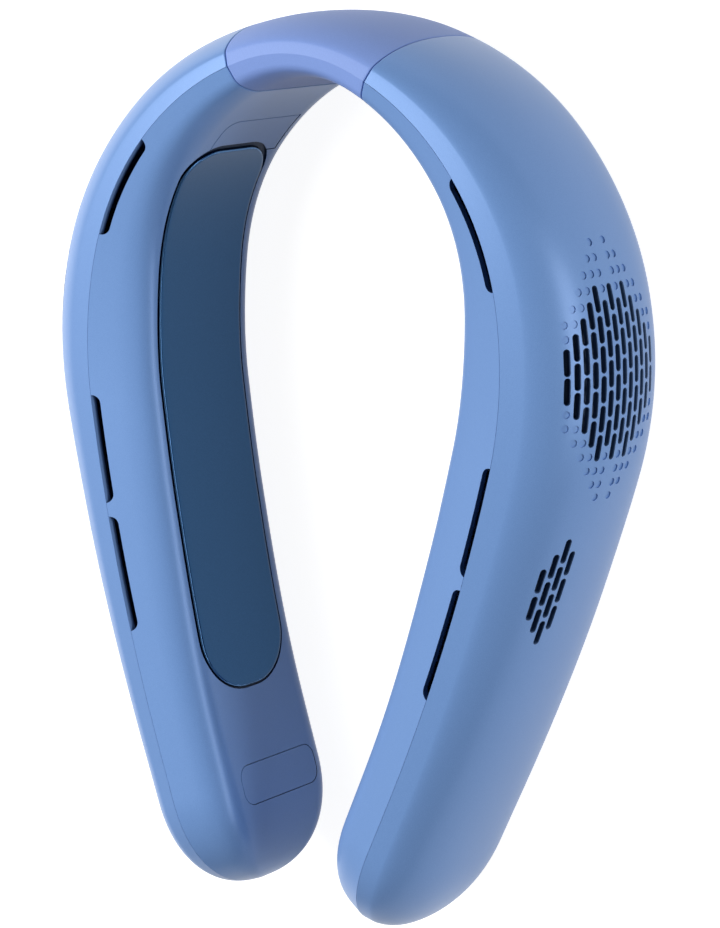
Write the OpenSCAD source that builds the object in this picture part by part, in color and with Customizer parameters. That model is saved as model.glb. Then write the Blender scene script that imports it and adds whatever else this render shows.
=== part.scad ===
// Electric neck fan: a horseshoe ring of two hollow arms joined by a soft
// sleeve behind the neck. Each arm holds a radial blower, a cooling plate with
// its heat sink, two battery cells and a circuit board.
// The ring lies on its bottom edge. +X is the wearer's left, +Y the nape.
// Places along an arm are measured from the middle of the nape along the top
// edge, u is the distance outward from that edge, and z is from mid-height.

/* [Ring] */
// Height of the ring from its bottom edge to its top edge
ring_h = 59.6; // [56:0.2:64]
// Radius of the edge behind the neck
neck_r = 50; // [46:0.5:54]
// Direction of the edge at the end of the neck bend, in degrees
neck_turn = 20; // [18:0.5:22]
// Radius of the edge round the shoulder
shoulder_r = 79; // [75:0.5:84]
// Direction of the edge at the end of the shoulder, in degrees
shoulder_turn = 80; // [78:0.5:82]
// Radius of the edge beside the blower
fan_r = 114; // [106:0.5:122]
// Direction of the edge at the end of the blower bend, in degrees
fan_turn = 101; // [99:0.5:103]
// Radius of the edge along the front arm
arm_r = 575; // [540:5:610]
// Direction of the edge at the end of the front arm, in degrees
arm_turn = 111; // [109:0.5:113]
// Straight length of the edge at the tip
tip_run = 46; // [42:0.5:50]
// Length over which the tip is rounded
tip_round = 30; // [26:0.5:34]

/* [Section depths] */
// Outward depth at the nape
neck_out = 10.2; // [9.8:0.1:12]
// Outward depth at the shoulder
shoulder_out = 16.7; // [16:0.1:18]
// Outward depth at the blower
fan_out = 22.8; // [22:0.1:25]
// Outward depth at the middle of the arm
mid_out = 20.4; // [19.6:0.1:22]
// Outward depth along the front arm
front_out = 17.5; // [17:0.1:19]
// Outward depth at the tip
tip_out = 16; // [15:0.1:17]
// Inward depth at the nape
neck_in = 6.8; // [6.6:0.1:7.6]
// Inward depth at the shoulder
shoulder_in = 11; // [10.6:0.1:12]
// Inward depth at the blower
fan_in = 17.7; // [17.2:0.1:18.6]
// Inward depth at the middle of the arm
mid_in = 17.6; // [17.2:0.1:18.6]
// Inward depth along the front arm
front_in = 15.6; // [15.2:0.1:16.6]
// Inward depth at the tip
tip_in = 14.6; // [14.2:0.1:15.6]

/* [Shells] */
// Wall of the arm shells
shell_wall = 1.8; // [1.6:0.1:2]
// Thickness of the shells where they meet at the edge
rim_wall = 2.2; // [2:0.1:2.6]
// Gap between the two shells of an arm
part_gap = 0.1; // [0.05:0.05:0.2]
// Distance of the sleeve seam from the middle of the nape
seam_s = 23.5; // [22.5:0.1:24.5]
// Gap at the sleeve seam
seam_gap = 0.3; // [0.2:0.05:0.5]

/* [Sleeve and hinges] */
// Wall of the soft sleeve
sleeve_wall = 2.4; // [2:0.1:2.6]
// Distance of each hinge axis from the middle of the nape
hinge_s = 12; // [11:0.1:13]
// Radius of the hinge barrels
barrel_r = 4.2; // [3.8:0.1:4.4]
// Radius of the hinge pins
pin_r = 1.5; // [1.3:0.05:1.7]
// Running clearance of the hinge pins
pin_gap = 0.05; // [0.03:0.01:0.08]
// Half height of the spine barrel
spine_half = 10; // [9:0.5:11]
// Height of each bracket ear
ear_h = 4.5; // [4:0.1:5]
// Thickness of the friction washers
washer_t = 0.5; // [0.4:0.05:0.6]

/* [Air outlets] */
// Width of the outlet slots in the top edge
outlet_w = 2.5; // [2:0.1:3]
// Start of the shoulder outlet along the edge
outlet_a = 60.6; // [58:0.2:62]
// Length of the shoulder outlet
outlet_a_len = 32; // [28:0.5:34]
// Start of the upper arm outlet along the edge
outlet_b = 139.5; // [138:0.5:141]
// Length of the upper arm outlet
outlet_b_len = 31.2; // [28:0.2:32]
// Bridge between the two arm outlets
outlet_bridge = 4; // [3:0.2:5]
// Length of the lower arm outlet
outlet_c_len = 33.4; // [30:0.2:35]

/* [Intake grilles] */
// Place of the blower and its grille along the edge
fan_s = 114.4; // [113:0.2:116]
// Height of the grille centre above mid-height
grille_z = 7; // [5.5:0.1:7.5]
// Upward tilt of both grilles, in degrees
grille_tilt = 20; // [16:1:22]
// Distance between grille columns
column_pitch = 2.71; // [2.6:0.01:2.75]
// Distance between the slots of a column
slot_pitch = 7.9; // [7.7:0.1:8.1]
// Length of a grille slot
slot_len = 7; // [6:0.1:7.2]
// Width of a grille slot
slot_w = 1.65; // [1.4:0.05:1.8]
// Place of the small grille along the edge
small_s = 170.2; // [168:0.2:172]
// Height of the small grille centre above mid-height
small_z = 15.3; // [13:0.1:16]
// Distance between the columns of the small grille
small_column = 2.58; // [2.5:0.02:2.7]
// Step of each small grille column along the arm
small_step = 0.37; // [0:0.01:0.5]
// Distance between the slots of a small grille column
small_pitch = 8.2; // [8:0.1:8.4]
// Length of a small grille slot
small_len = 6.9; // [6.2:0.1:7.2]

/* [Cooling plate] */
// Start of the plate along the edge
plate_a = 56.2; // [55.4:0.2:58]
// End of the plate along the edge
plate_b = 232; // [226:0.5:234]
// Margin that the plate leaves toward the ring's two edges
plate_margin = 11.3; // [11:0.1:12.2]
// Height of the middle of the plate above mid-height
plate_mid = 1; // [0.5:0.1:1.3]
// Corner radius at the plate's top end
plate_top_corner = 12; // [10:0.5:14]
// Corner radius at the plate's lower end
plate_corner = 16; // [12:0.5:16.5]
// How far the plate stands proud of the shell
plate_proud = 0.4; // [0.3:0.1:0.8]
// Depth of the plate's back below the inner skin
plate_depth = 1.9; // [1.8:0.1:2.2]
// Gap round the plate, filled by its seal
plate_gap = 0.7; // [0.6:0.05:0.9]
// Open groove above the plate's top end
plate_groove = 2.3; // [1.5:0.1:2.5]

/* [Blower] */
// Radius of the impeller
impeller_r = 18; // [17:0.1:18.4]
// Number of impeller blades
blades = 28; // [20:1:32]
// Inner radius of the blower housing
scroll_r = 19; // [18.8:0.1:19.4]
// Height of the blower housing without its cover
scroll_h = 14; // [13.6:0.1:14.4]
// Radius of the intake mouth in the cover
mouth_r = 13.5; // [12:0.1:14.5]
// Radius of the motor shaft
shaft_r = 1; // [0.9:0.05:1.2]

/* [Tip] */
// Length of each battery cell
cell_len = 40; // [36:0.5:40]
// Height of each battery cell
cell_h = 28; // [24:0.5:29]
// Thickness of each battery cell
cell_t = 8.8; // [8:0.1:9]
// Length of the circuit boards
board_len = 45; // [42:0.5:46]
// Radius of the two push buttons
button_r = 4.6; // [4:0.1:5]
// Travel of the two push buttons
button_travel = 0.35; // [0.3:0.05:0.4]

/* [Hidden] */
$fn = 48;
// Overrun of every cut
over = 1;
// Clearance of pieces that seat inside the shells
seat_gap = 0.25;
half_h = ring_h / 2;

// Rule of the section: facet widths, their fall and where the face starts, as
// shares of the depth or of the half height, first outward and then inward
facet_shares = [0.373, 0.655];
fall_shares = [0.249, 0.352];
face_shares = [0.619, 0.745];
// Where the bend at the crease starts and ends, and where the face turns flat
crease_in_shares = [0.75, 0.62];
crease_out_shares = [0.2, 0.35];
flat_shares = [0, 0.6];
tip_power_share = 2.2;
tip_least_share = 0.02;
land_share = 0.03;

// Points of each bend of a skin line, and rings along the arm and round its tip
crease_n = 2;
face_n = 5;
arm_n = 19;
tip_n = 6;

bend_r = [neck_r, shoulder_r, fan_r, arm_r];
turns = [0, neck_turn, shoulder_turn, fan_turn, arm_turn];
outward = [neck_out, shoulder_out, fan_out, mid_out, front_out, tip_out];
inward = [neck_in, shoulder_in, fan_in, mid_in, front_in, tip_in];

// The edge in plan: four bends that meet in a tangent, then a straight run
function to_rad(a) = a * PI / 180;
function bend_len(i) = bend_r[i] * to_rad(turns[i + 1] - turns[i]);
function bend_start(i) = i == 0 ? 0 : bend_start(i - 1) + bend_len(i - 1);
function chord(r, a, b) = r * [sin(b) - sin(a), cos(b) - cos(a)];
function corner(i) = i == 0 ? [0, 0] : corner(i - 1) + chord(bend_r[i - 1], turns[i - 1], turns[i]);
function bend_of(s) = max([for (i = [0:3]) if (s >= bend_start(i)) i]);
bends_len = bend_start(4);
edge_len = bends_len + tip_run;
function heading(s) = s < 0 ? -heading(-s)
    : s >= bends_len ? arm_turn
    : turns[bend_of(s)] + (s - bend_start(bend_of(s))) / to_rad(1) / bend_r[bend_of(s)];
function edge(s) = s < 0 ? [-edge(-s)[0], edge(-s)[1]]
    : s >= bends_len ? corner(4) + (s - bends_len) * [cos(arm_turn), -sin(arm_turn)]
    : corner(bend_of(s)) + chord(bend_r[bend_of(s)], turns[bend_of(s)], heading(s));
function spot(s, u, z) = let (e = edge(s), a = heading(s)) [e[0] + u * sin(a), e[1] + u * cos(a), z];

// Depth of the outward side (side 1) and the inward side (side -1) at s
function end_value(v, i) = i < 0 ? v[1] : i >= len(v) ? 2 * v[len(v) - 1] - v[len(v) - 2] : v[i];
function glide(v, t) = let (
        x = min(max(t, 0), 0.99999) * (len(v) - 1), i = floor(x), f = x - i,
        a = end_value(v, i - 1), b = v[i], c = end_value(v, i + 1), d = end_value(v, i + 2))
    (2 * b + (c - a) * f + (2 * a - 5 * b + 4 * c - d) * f * f + (3 * b - a - 3 * c + d) * f * f * f) / 2;
function pick(side, pair) = pair[side > 0 ? 0 : 1];
function depth(side, s) = glide(side > 0 ? outward : inward, abs(s) / edge_len);
function tip_share(s, end, round) = s <= end - round ? 1
    : max(tip_least_share,
        pow(1 - min(1, pow((s - end + round) / round, tip_power_share)), 1 / tip_power_share));

// One side of the section from the top edge to the bottom edge, as [depth, z]
function mix(a, b, t) = a + (b - a) * t;
function bow(a, b, c, n) = [for (i = [0:n]) let (t = i / n)
    (1 - t) * (1 - t) * a + 2 * t * (1 - t) * b + t * t * c];
function crease(side, d, h) = let (f = pick(side, facet_shares) * d) [f, h - pick(side, fall_shares) * f];
function face_turn(side, d, h) = [d, pick(side, face_shares) * h];
function face_start(side, d, h) =
    mix(crease(side, d, h), face_turn(side, d, h), pick(side, crease_out_shares));
function face_end(side, d, h) = [d, pick(side, flat_shares) * h];
function tail(v) = [for (i = [1:len(v) - 1]) v[i]];
function back(v) = [for (i = [len(v) - 1:-1:0]) v[i]];
function half_line(side, d, h) = concat([[0, h]],
    bow(mix([0, h], crease(side, d, h), pick(side, crease_in_shares)),
        crease(side, d, h), face_start(side, d, h), crease_n),
    tail(bow(face_start(side, d, h), face_turn(side, d, h), face_end(side, d, h), face_n)),
    side > 0 ? [] : [[d, 0]]);
// The bottom edge has a narrow flat land on either side, which the ring rests on
function skin_line(side, d, h) = let (top = half_line(side, d, h))
    concat(top, back([for (i = [1:len(top) - 2]) [top[i][0], -top[i][1]]]), [[land_share * d, -h], [0, -h]]);

// Depth of the skin at height z, on the face below the crease
function skin_depth(side, s, z, less = 0, lower = 0) = let (
        d = depth(side, s) - less, h = half_h - lower,
        p = face_start(side, d, h), q = face_turn(side, d, h), r = face_end(side, d, h),
        k = p[1] - 2 * q[1] + r[1], m = 2 * (q[1] - p[1]), n = p[1] - abs(z),
        t = abs(z) <= r[1] ? 1 : (-m - sqrt(max(0, m * m - 4 * k * n))) / (2 * k))
    mix(p[0], d, 1 - (1 - t) * (1 - t));

// Outward distance of the skin from the frame at s, at x along that frame
function reach(s, x, z) = let (
        r = bend_r[bend_of(s)], q = s + x * r / (r + depth(1, s)), e = edge(q) - edge(s), a = heading(s))
    e[0] * sin(a) + e[1] * cos(a) + skin_depth(1, q, z) * cos(heading(q) - a);

// A solid through rings of points, each ring a front line and its back line
module loft(rings, flip = false) {
    m = len(rings[0]);
    last = (len(rings) - 1) * m;
    quads = concat(
        [for (i = [0:len(rings) - 2], k = [0:m - 1])
            [i * m + k, i * m + (k + 1) % m, (i + 1) * m + (k + 1) % m, (i + 1) * m + k]],
        [for (k = [0:m / 2 - 2]) [m - 1 - k, m - 2 - k, k + 1, k]],
        [for (k = [0:m / 2 - 2]) [last + k, last + k + 1, last + m - 2 - k, last + m - 1 - k]]);
    faces = [for (q = quads, t = [[q[0], q[1], q[2]], [q[0], q[2], q[3]]]) flip ? back(t) : t];
    polyhedron([for (r = rings, p = r) p], faces);
}

// A closed band through rings of points, such as a seal or a sleeve
module band(rings, closed = true) {
    m = len(rings[0]);
    n = len(rings);
    turns_n = closed ? n - 1 : n - 2;
    quads = [for (i = [0:turns_n], k = [0:m - 1])
        [i * m + k, i * m + (k + 1) % m, (i + 1) % n * m + (k + 1) % m, (i + 1) % n * m + k]];
    faces = [for (q = quads, t = [[q[0], q[1], q[2]], [q[0], q[2], q[3]]]) t];
    polyhedron([for (r = rings, p = r) p], faces);
}

// Overall place: the origin is at the middle of the bottom of the part's box
tip_low = min([for (i = [0:tip_n * 2], k = [-1, 1])
    let (s = edge_len - tip_round * (1 - sin(45 * i / tip_n)), f = tip_share(s, edge_len, tip_round))
    spot(s, k * (depth(k, s) * f + part_gap / 2), 0)[1]]);
mid_y = (neck_out + tip_low) / 2;
module placed() translate([0, -mid_y, half_h]) children();
module on_left() placed() children();
module on_right() placed() mirror([1, 0, 0]) children();

// A frame at s with X along the edge, Y outward and Z up
module at(s) translate([each edge(s), 0]) rotate(-heading(s)) children();
// Extrudes an outline in u and z along the edge from s
module across(s, t) at(s) rotate([90, 0, 90]) linear_extrude(t) children();
// Turns the Z axis outward
module facing_out() rotate([-90, 0, 0]) children();

// Arm shells

function arm_stations(from, end, round) = concat(
    [for (i = [0:arm_n - 1]) from + (end - round - from) * i / arm_n],
    [for (i = [0:tip_n]) end - round + round * sin(90 * i / tip_n)]);
shell_from = seam_s + seam_gap / 2;
outer_stations = arm_stations(shell_from, edge_len, tip_round);
wall_stations = arm_stations(shell_from, edge_len - shell_wall, tip_round - shell_wall);
function side_points(side, s, line) = [for (p = line) spot(s, side * (p[0] + part_gap / 2), p[1])];
function shell_ring(side, i) = let (
        s = outer_stations[i], f = tip_share(s, edge_len, tip_round),
        w = wall_stations[i], g = tip_share(w, edge_len - shell_wall, tip_round - shell_wall))
    concat(
        side_points(side, s, skin_line(side, depth(side, s) * f, half_h * f)),
        back(side_points(side, w,
            skin_line(side, (depth(side, w) - shell_wall) * g, (half_h - rim_wall) * g))));
module shell(side) loft([for (i = [0:len(outer_stations) - 1]) shell_ring(side, i)], side < 0);

// Rounded slots in columns, cut straight through the outer face
module slot(length, deep) linear_extrude(deep) {
    translate([-length / 2 + slot_w / 2, -slot_w / 2]) square([length - slot_w, slot_w]);
    for (x = [-1, 1]) translate([x * (length - slot_w) / 2, 0]) circle(d = slot_w, $fn = 16);
}
module grille(s, z, counts, pitch, column, step, length) {
    columns = len(counts);
    at(s) translate([0, skin_depth(1, s, z), z]) rotate([grille_tilt, 0, 0]) facing_out()
        for (c = [0:columns - 1], r = [0:counts[c] - 1]) let (away = c - (columns - 1) / 2)
            translate([(r - (counts[c] - 1) / 2) * pitch - away * step, away * column, -shell_wall * 5.5])
                slot(length, shell_wall * 7.5);
}
main_counts = [2, 3, 4, 5, 6, 5, 6, 5, 6, 5, 4, 3, 2];
small_counts = [2, 3, 4, 3];

// Bosses along u: case screws, blower posts and board posts
boss_r = 2.6;
pilot_r = 0.9;
upper_screw = 49;
lower_screw = 29.6;
case_screw_places = [upper_screw, edge_len - lower_screw];
case_screw_r = 1.1;
case_head_r = 2.1;
case_head_t = 1.4;
boss_gap = 0.3;
// Each boss ends inside the wall, below the lowest skin over its rim
module out_boss(s, x, z, from) at(s) translate([x, from, z]) facing_out() {
    skin = min([for (i = [-1, 1], k = [-1, 1]) reach(s, x + i * boss_r, z + k * boss_r)]);
    cylinder(r = boss_r, h = skin - shell_wall / 5 - from);
}
module out_pilot(s, x, z, from, deep) at(s) translate([x, from - over, z]) facing_out()
    cylinder(r = pilot_r, h = deep + over);

board_back = 56;
board_s = edge_len - board_back;
board_t = 1.2;
board_out = 8.8;
board_half = 14.5;
board_post_x = board_len / 2 - boss_r - board_t;
board_post_z = -8;
blower_lug_x = 27.5;
blower_lug_z = 8;
blower_base = -4.5;
lug_t = 2;
lug_out = blower_base + scroll_h - lug_t;
screw_in = 6;

power_x = -12;
mode_x = 8;
button_places = [power_x, mode_x];
button_gap = 0.3;
light_x = -2;
light_r = 0.8;
usb_x = 2;
usb_w = 8.9;
usb_t = 3.2;
usb_deep = 7.3;
usb_u = board_out - board_t - usb_t / 2 - seat_gap / 5;

module outer_shell(controls) color("cornflowerblue") difference() {
    union() {
        shell(1);
        for (s = case_screw_places) out_boss(s, 0, 0, boss_gap / 2);
        for (k = [-1, 1]) out_boss(fan_s, k * blower_lug_x, k * blower_lug_z, lug_out + lug_t);
        for (k = [-1, 1]) out_boss(board_s, k * board_post_x, k * board_post_z, board_out);
    }
    for (s = case_screw_places) out_pilot(s, 0, 0, boss_gap / 2, screw_in);
    for (k = [-1, 1]) out_pilot(fan_s, k * blower_lug_x, k * blower_lug_z, lug_out + lug_t, screw_in);
    for (k = [-1, 1]) out_pilot(board_s, k * board_post_x, k * board_post_z, board_out, screw_in - lug_t);
    grille(fan_s, grille_z, main_counts, slot_pitch, column_pitch, 0, slot_len);
    grille(small_s, small_z, small_counts, small_pitch, small_column, small_step, small_len);
    if (controls) {
        for (x = button_places) at(board_s) translate([x, board_out, 0]) facing_out()
            cylinder(r = button_r + button_gap, h = front_out);
        at(board_s) translate([light_x, board_out, 0]) facing_out()
            cylinder(r = light_r + button_gap, h = front_out, $fn = 24);
        at(board_s) translate([usb_x, usb_u, -half_h - over]) usb_outline(button_gap, half_h / 4);
    }
}
module usb_outline(grow, deep) linear_extrude(deep) {
    square([usb_w - usb_t, usb_t + 2 * grow], center = true);
    for (k = [-1, 1]) translate([k * (usb_w - usb_t) / 2, 0]) circle(d = usb_t + 2 * grow, $fn = 24);
}

// Panels on the inner face, with a rounded outline in s and z
function panel_half(s, a, b, half, corners) = let (
        e = max(0, min(s - a, b - s)), r = s - a < b - s ? corners[0] : corners[1])
    e >= r ? half : half - r + sqrt(r * r - (r - e) * (r - e));
function panel_stations(a, b, corners, n, m) = concat(
    [for (i = [0:n]) a + corners[0] * (1 - cos(90 * i / n))],
    [for (i = [1:m - 1]) mix(a + corners[0], b - corners[1], i / m)],
    [for (i = [n:-1:0]) b - corners[1] * (1 - cos(90 * i / n))]);
// Front line at a height above the inner skin, back line at a depth below it
function panel_ring(s, top, low, proud, deep, shares, flat_back) = concat(
    [for (k = shares) let (z = mix(low, top, k)) spot(s, -skin_depth(-1, s, z) - proud, z)],
    back([for (k = shares) let (z = mix(low, top, k))
        spot(s, deep - (flat_back ? depth(-1, s) : skin_depth(-1, s, z)), z)]));
module panel(a, b, mid, half, corners, proud, deep, shares, n, m, flat_back = false)
    loft([for (s = panel_stations(a, b, corners, n, m)) let (h = panel_half(s, a, b, half, corners))
        panel_ring(s, mid + h, mid - h, proud, deep, shares, flat_back)], true);
flat_line_shares = [1, 0];
crown_shares = [1, 0.86, 0.63, 0.37, 0.14, 0];
rows = 12;
corner_n = 5;

plate_half = half_h - plate_margin;
window_a = plate_a - plate_groove;
plate_corners = [plate_top_corner, plate_corner];
function grown(v, by) = [for (r = v) r + by];
module plate_window() panel(window_a, plate_b + plate_gap, plate_mid, plate_half + plate_gap,
    grown(plate_corners, plate_gap), over * 3, shell_wall * 4, flat_line_shares, corner_n, rows);

// Trim above the plate: a flush tongue with one round corner, ending at the open groove
trim_a = 42.8;
trim_drop = 16.7;
trim_top = half_h - trim_drop;
trim_lap = 1.5;
trim_low = plate_mid - plate_half - trim_lap;
trim_t = 0.9;
trim_line = 0.25;
trim_corner = 4.5;
trim_b = plate_a + shell_wall;
function trim_edge(s, grow) = let (r = trim_corner, e = max(0, s - trim_a + grow))
    e >= r ? trim_top + grow : trim_top + grow - r + sqrt(r * r - (r - e) * (r - e));
module trim_solid(grow, proud, deep) {
    stations = concat([for (i = [0:4]) trim_a - grow + trim_corner * (1 - cos(22.5 * i))],
        [trim_b + grow]);
    loft([for (s = stations) panel_ring(s, trim_edge(s, grow), trim_low - grow, proud, deep,
        crown_shares, false)], true);
}
module bridge_trim() color("lightsteelblue") difference() {
    trim_solid(0, 0, trim_t);
    plate_window();
}

// Flush cover near the tip, over the lower case screw
cover_back = 34;
cover_a = edge_len - cover_back;
cover_len = 11.4;
cover_b = cover_a + cover_len;
cover_margin = 12.3;
cover_half = half_h - cover_margin;
cover_mid = -1.5;
cover_corner = 4;
cover_line = 0.25;
module tip_panel(grow, proud, deep) panel(cover_a - grow, cover_b + grow, cover_mid, cover_half + grow,
    grown([cover_corner, cover_corner], grow), proud, deep, crown_shares, 3, 1);
module tip_cover() color("steelblue") tip_panel(0, 0, trim_t);

// Outlet slot along the edge, straight outside and round at its inner corners
module outlet(a, length) {
    b = a + length;
    arc = [for (i = [0:4]) outlet_w * [1 - cos(22.5 * i), sin(22.5 * i)]];
    mids = [for (i = [1:5]) a + outlet_w + (length - 2 * outlet_w) * i / 6];
    inner = concat([for (p = arc) spot(a + p[0], -p[1], 0)], [for (s = mids) spot(s, -outlet_w, 0)],
        [for (p = back(arc)) spot(b - p[0], -p[1], 0)]);
    outer = [for (i = [6:-1:0]) spot(a + length * i / 6, over / 4, 0)];
    translate([0, 0, half_h - rim_wall * 2])
        linear_extrude(rim_wall * 2 + over) polygon([for (p = concat(inner, outer)) [p[0], p[1]]]);
}

module inner_shell() color("cornflowerblue") difference() {
    union() {
        shell(-1);
        for (s = case_screw_places) at(s) translate([0, -depth(-1, s) + shell_wall / 2, 0]) facing_out()
            cylinder(r = boss_r + shell_wall / 2, h = depth(-1, s) - shell_wall / 2 - boss_gap / 2);
    }
    plate_window();
    trim_solid(trim_line, over, trim_t + trim_line);
    tip_panel(cover_line, over, trim_t + cover_line);
    outlet(outlet_a, outlet_a_len);
    outlet(outlet_b, outlet_b_len);
    outlet(outlet_b + outlet_b_len + outlet_bridge, outlet_c_len);
    for (s = case_screw_places) at(s) translate([0, -depth(-1, s), 0]) facing_out() {
        cylinder(r = case_head_r + seat_gap, h = trim_t + trim_line + case_head_t + seat_gap);
        cylinder(r = case_screw_r + seat_gap, h = depth(-1, s));
    }
}
module case_screws() color("dimgray")
    for (s = case_screw_places)
        at(s) translate([0, trim_t + trim_line + seat_gap - depth(-1, s), 0]) facing_out() {
            cylinder(r = case_head_r, h = case_head_t);
            cylinder(r = case_screw_r, h = depth(-1, s) - trim_t - trim_line - seat_gap);
            translate([0, 0, depth(-1, s) - trim_t - trim_line - seat_gap])
                cylinder(r = pilot_r - seat_gap / 10, h = screw_in - over);
        }

// Cooling plate and its seal
module cooling_plate() color("midnightblue") panel(plate_a, plate_b, plate_mid, plate_half,
    plate_corners, plate_proud, plate_depth, crown_shares, corner_n, rows, true);
function oval(a, b, half, corners) = let (
        line = [for (s = panel_stations(a, b, corners, corner_n, rows)) [s, panel_half(s, a, b, half, corners)]])
    concat([for (p = line) [p[0], plate_mid + p[1]]], back([for (p = line) [p[0], plate_mid - p[1]]]));
seal_slack = 0.1;
seal_low = 0.6;
seal_t = 1.2;
module plate_seal() color("black") {
    near = oval(plate_a - seal_slack, plate_b + seal_slack, plate_half + seal_slack,
        grown(plate_corners, seal_slack));
    far = oval(window_a + seal_slack, plate_b + plate_gap - seal_slack,
        plate_half + plate_gap - seal_slack, grown(plate_corners, plate_gap - seal_slack));
    band([for (i = [0:len(near) - 1]) let (p = near[i], q = far[i],
            np = skin_depth(-1, p[0], p[1]), fp = skin_depth(-1, q[0], q[1]))
        [spot(p[0], seal_low - np, p[1]), spot(q[0], seal_low - fp, q[1]),
            spot(q[0], seal_low + seal_t - fp, q[1]), spot(p[0], seal_low + seal_t - np, p[1])]]);
}

// Dust screens behind the two grilles, laid against the outer wall
screen_t = 0.5;
screen_gap = 0.7;
screen_n = 3;
module screen(s, length, mid, half, r) {
    a = s - length / 2;
    loft([for (p = panel_stations(a, a + length, [r, r], screen_n, 2)) let (
            h = panel_half(p, a, a + length, half, [r, r]), line = [for (k = crown_shares)
                let (z = mid + h * (2 * k - 1)) [skin_depth(1, p, z, shell_wall, rim_wall), z]])
        concat([for (q = line) spot(p, q[0] - screen_gap, q[1])],
            back([for (q = line) spot(p, q[0] - screen_gap - screen_t, q[1])]))]);
}
main_screen_len = 41;
main_screen_margin = 12.2;
main_screen_half = half_h - main_screen_margin;
main_screen_low = 1.7;
main_screen_corner = 16;
small_screen_half = 7.4;
module intake_screen() color("darkslategray") {
    screen(fan_s, main_screen_len, grille_z - main_screen_low, main_screen_half, main_screen_corner);
    screen(small_s, small_pitch * len(small_counts), small_z, small_screen_half, small_pitch / 2);
}

// Neck sleeve, spine, hinges and cable

sleeve_n = 5;
sleeve_end = seam_s - seam_gap / 2;
function loop(s, inset) = concat(
    [for (p = skin_line(1, depth(1, s) - inset, half_h - inset)) spot(s, p[0], p[1])],
    tail(back([for (p = skin_line(-1, depth(-1, s) - inset, half_h - inset)) spot(s, -p[0], p[1])])));
function drop_last(v) = [for (i = [0:len(v) - 2]) v[i]];
module neck_sleeve() color("slateblue") placed() {
    stations = [for (i = [-sleeve_n:sleeve_n]) sleeve_end * i / sleeve_n];
    band(concat(
        [for (s = stations) drop_last(loop(s, 0))],
        [for (s = back(stations)) drop_last(loop(s, sleeve_wall))]));
}

function mid_u(s) = (depth(1, s) - depth(-1, s)) / 2;
hinge_u = mid_u(hinge_s);
rib_t = 6;
cable_drop = 9.3;
cable_z = half_h - cable_drop;
cable_h = 6;
cable_t = 0.6;
spine_t = 5;
strip_step = 0.6;
module inside(s, inset) polygon([
    for (p = concat(skin_line(1, depth(1, s) - inset, half_h - inset),
        back([for (q = skin_line(-1, depth(-1, s) - inset, half_h - inset)) [-q[0], q[1]]]))) p]);
module cable_hole(s, x, t) at(s) translate([x, mid_u(s) - cable_t * 2, cable_z - cable_h / 2 - seat_gap])
    cube([t, cable_t * 4, cable_h + 2 * seat_gap]);
spine_stations = [for (i = [-4:4]) hinge_s * i / 4];
module neck_spine() color("gray") placed() difference() {
    union() {
        translate([0, 0, strip_step - spine_half]) linear_extrude((spine_half - strip_step) * 2)
            polygon([for (p = concat(
                [for (s = spine_stations) spot(s, hinge_u + spine_t / 2, 0)],
                [for (s = back(spine_stations)) spot(s, hinge_u - spine_t / 2, 0)])) [p[0], p[1]]]);
        for (k = [-1, 1]) at(k * hinge_s) translate([0, hinge_u, -spine_half])
            cylinder(r = barrel_r, h = spine_half * 2);
        translate([-rib_t / 2, 0, 0]) rotate([90, 0, 90]) linear_extrude(rib_t)
            inside(0, sleeve_wall + seat_gap);
    }
    for (k = [-1, 1]) at(k * hinge_s) translate([0, hinge_u, -spine_half - over])
        cylinder(r = pin_r + pin_gap, h = 2 * (spine_half + over));
    cable_hole(0, -rib_t / 2 - over, rib_t + 2 * over);
}

cable_end = 40;
module neck_cable() color("orange") placed()
    loft([for (i = [-8:8]) let (s = cable_end * i / 8) [for (p = [[1, 1], [1, -1], [-1, -1], [-1, 1]])
        spot(s, mid_u(s) + p[0] * cable_t / 2, cable_z + p[1] * cable_h / 2)]]);

bulkhead_t = 2.4;
bulkhead_s = seam_s + 0.8;
ear_in = spine_half + washer_t + pin_gap * 2;
ear_w = 4.4;
module hinge_bracket() color("silver") difference() {
    union() {
        across(bulkhead_s, bulkhead_t) inside(bulkhead_s, shell_wall + seat_gap * 2);
        for (k = [0, 1]) mirror([0, 0, k]) at(hinge_s) translate([0, hinge_u, ear_in]) {
            cylinder(r = barrel_r, h = ear_h);
            translate([0, -ear_w / 2 - over / 2, 0]) cube([bulkhead_s - hinge_s + over, ear_w, ear_h]);
        }
    }
    at(hinge_s) translate([0, hinge_u, -ear_in - ear_h - over])
        cylinder(r = pin_r + pin_gap / 5, h = 2 * (ear_in + ear_h + over));
    cable_hole(bulkhead_s, -over, bulkhead_t + 2 * over);
}
module hinge_pin() color("dimgray") at(hinge_s) translate([0, hinge_u, -ear_in - ear_h])
    cylinder(r = pin_r, h = 2 * (ear_in + ear_h));
module hinge_washers() color("goldenrod") at(hinge_s) translate([0, hinge_u, 0])
    for (k = [0, 1]) mirror([0, 0, k]) translate([0, 0, spine_half + pin_gap]) difference() {
        cylinder(r = barrel_r - pin_gap, h = washer_t);
        translate([0, 0, -over]) cylinder(r = pin_r + pin_gap, h = washer_t + 2 * over);
    }

// Blower, with its axis pointing out through the grille

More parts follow.
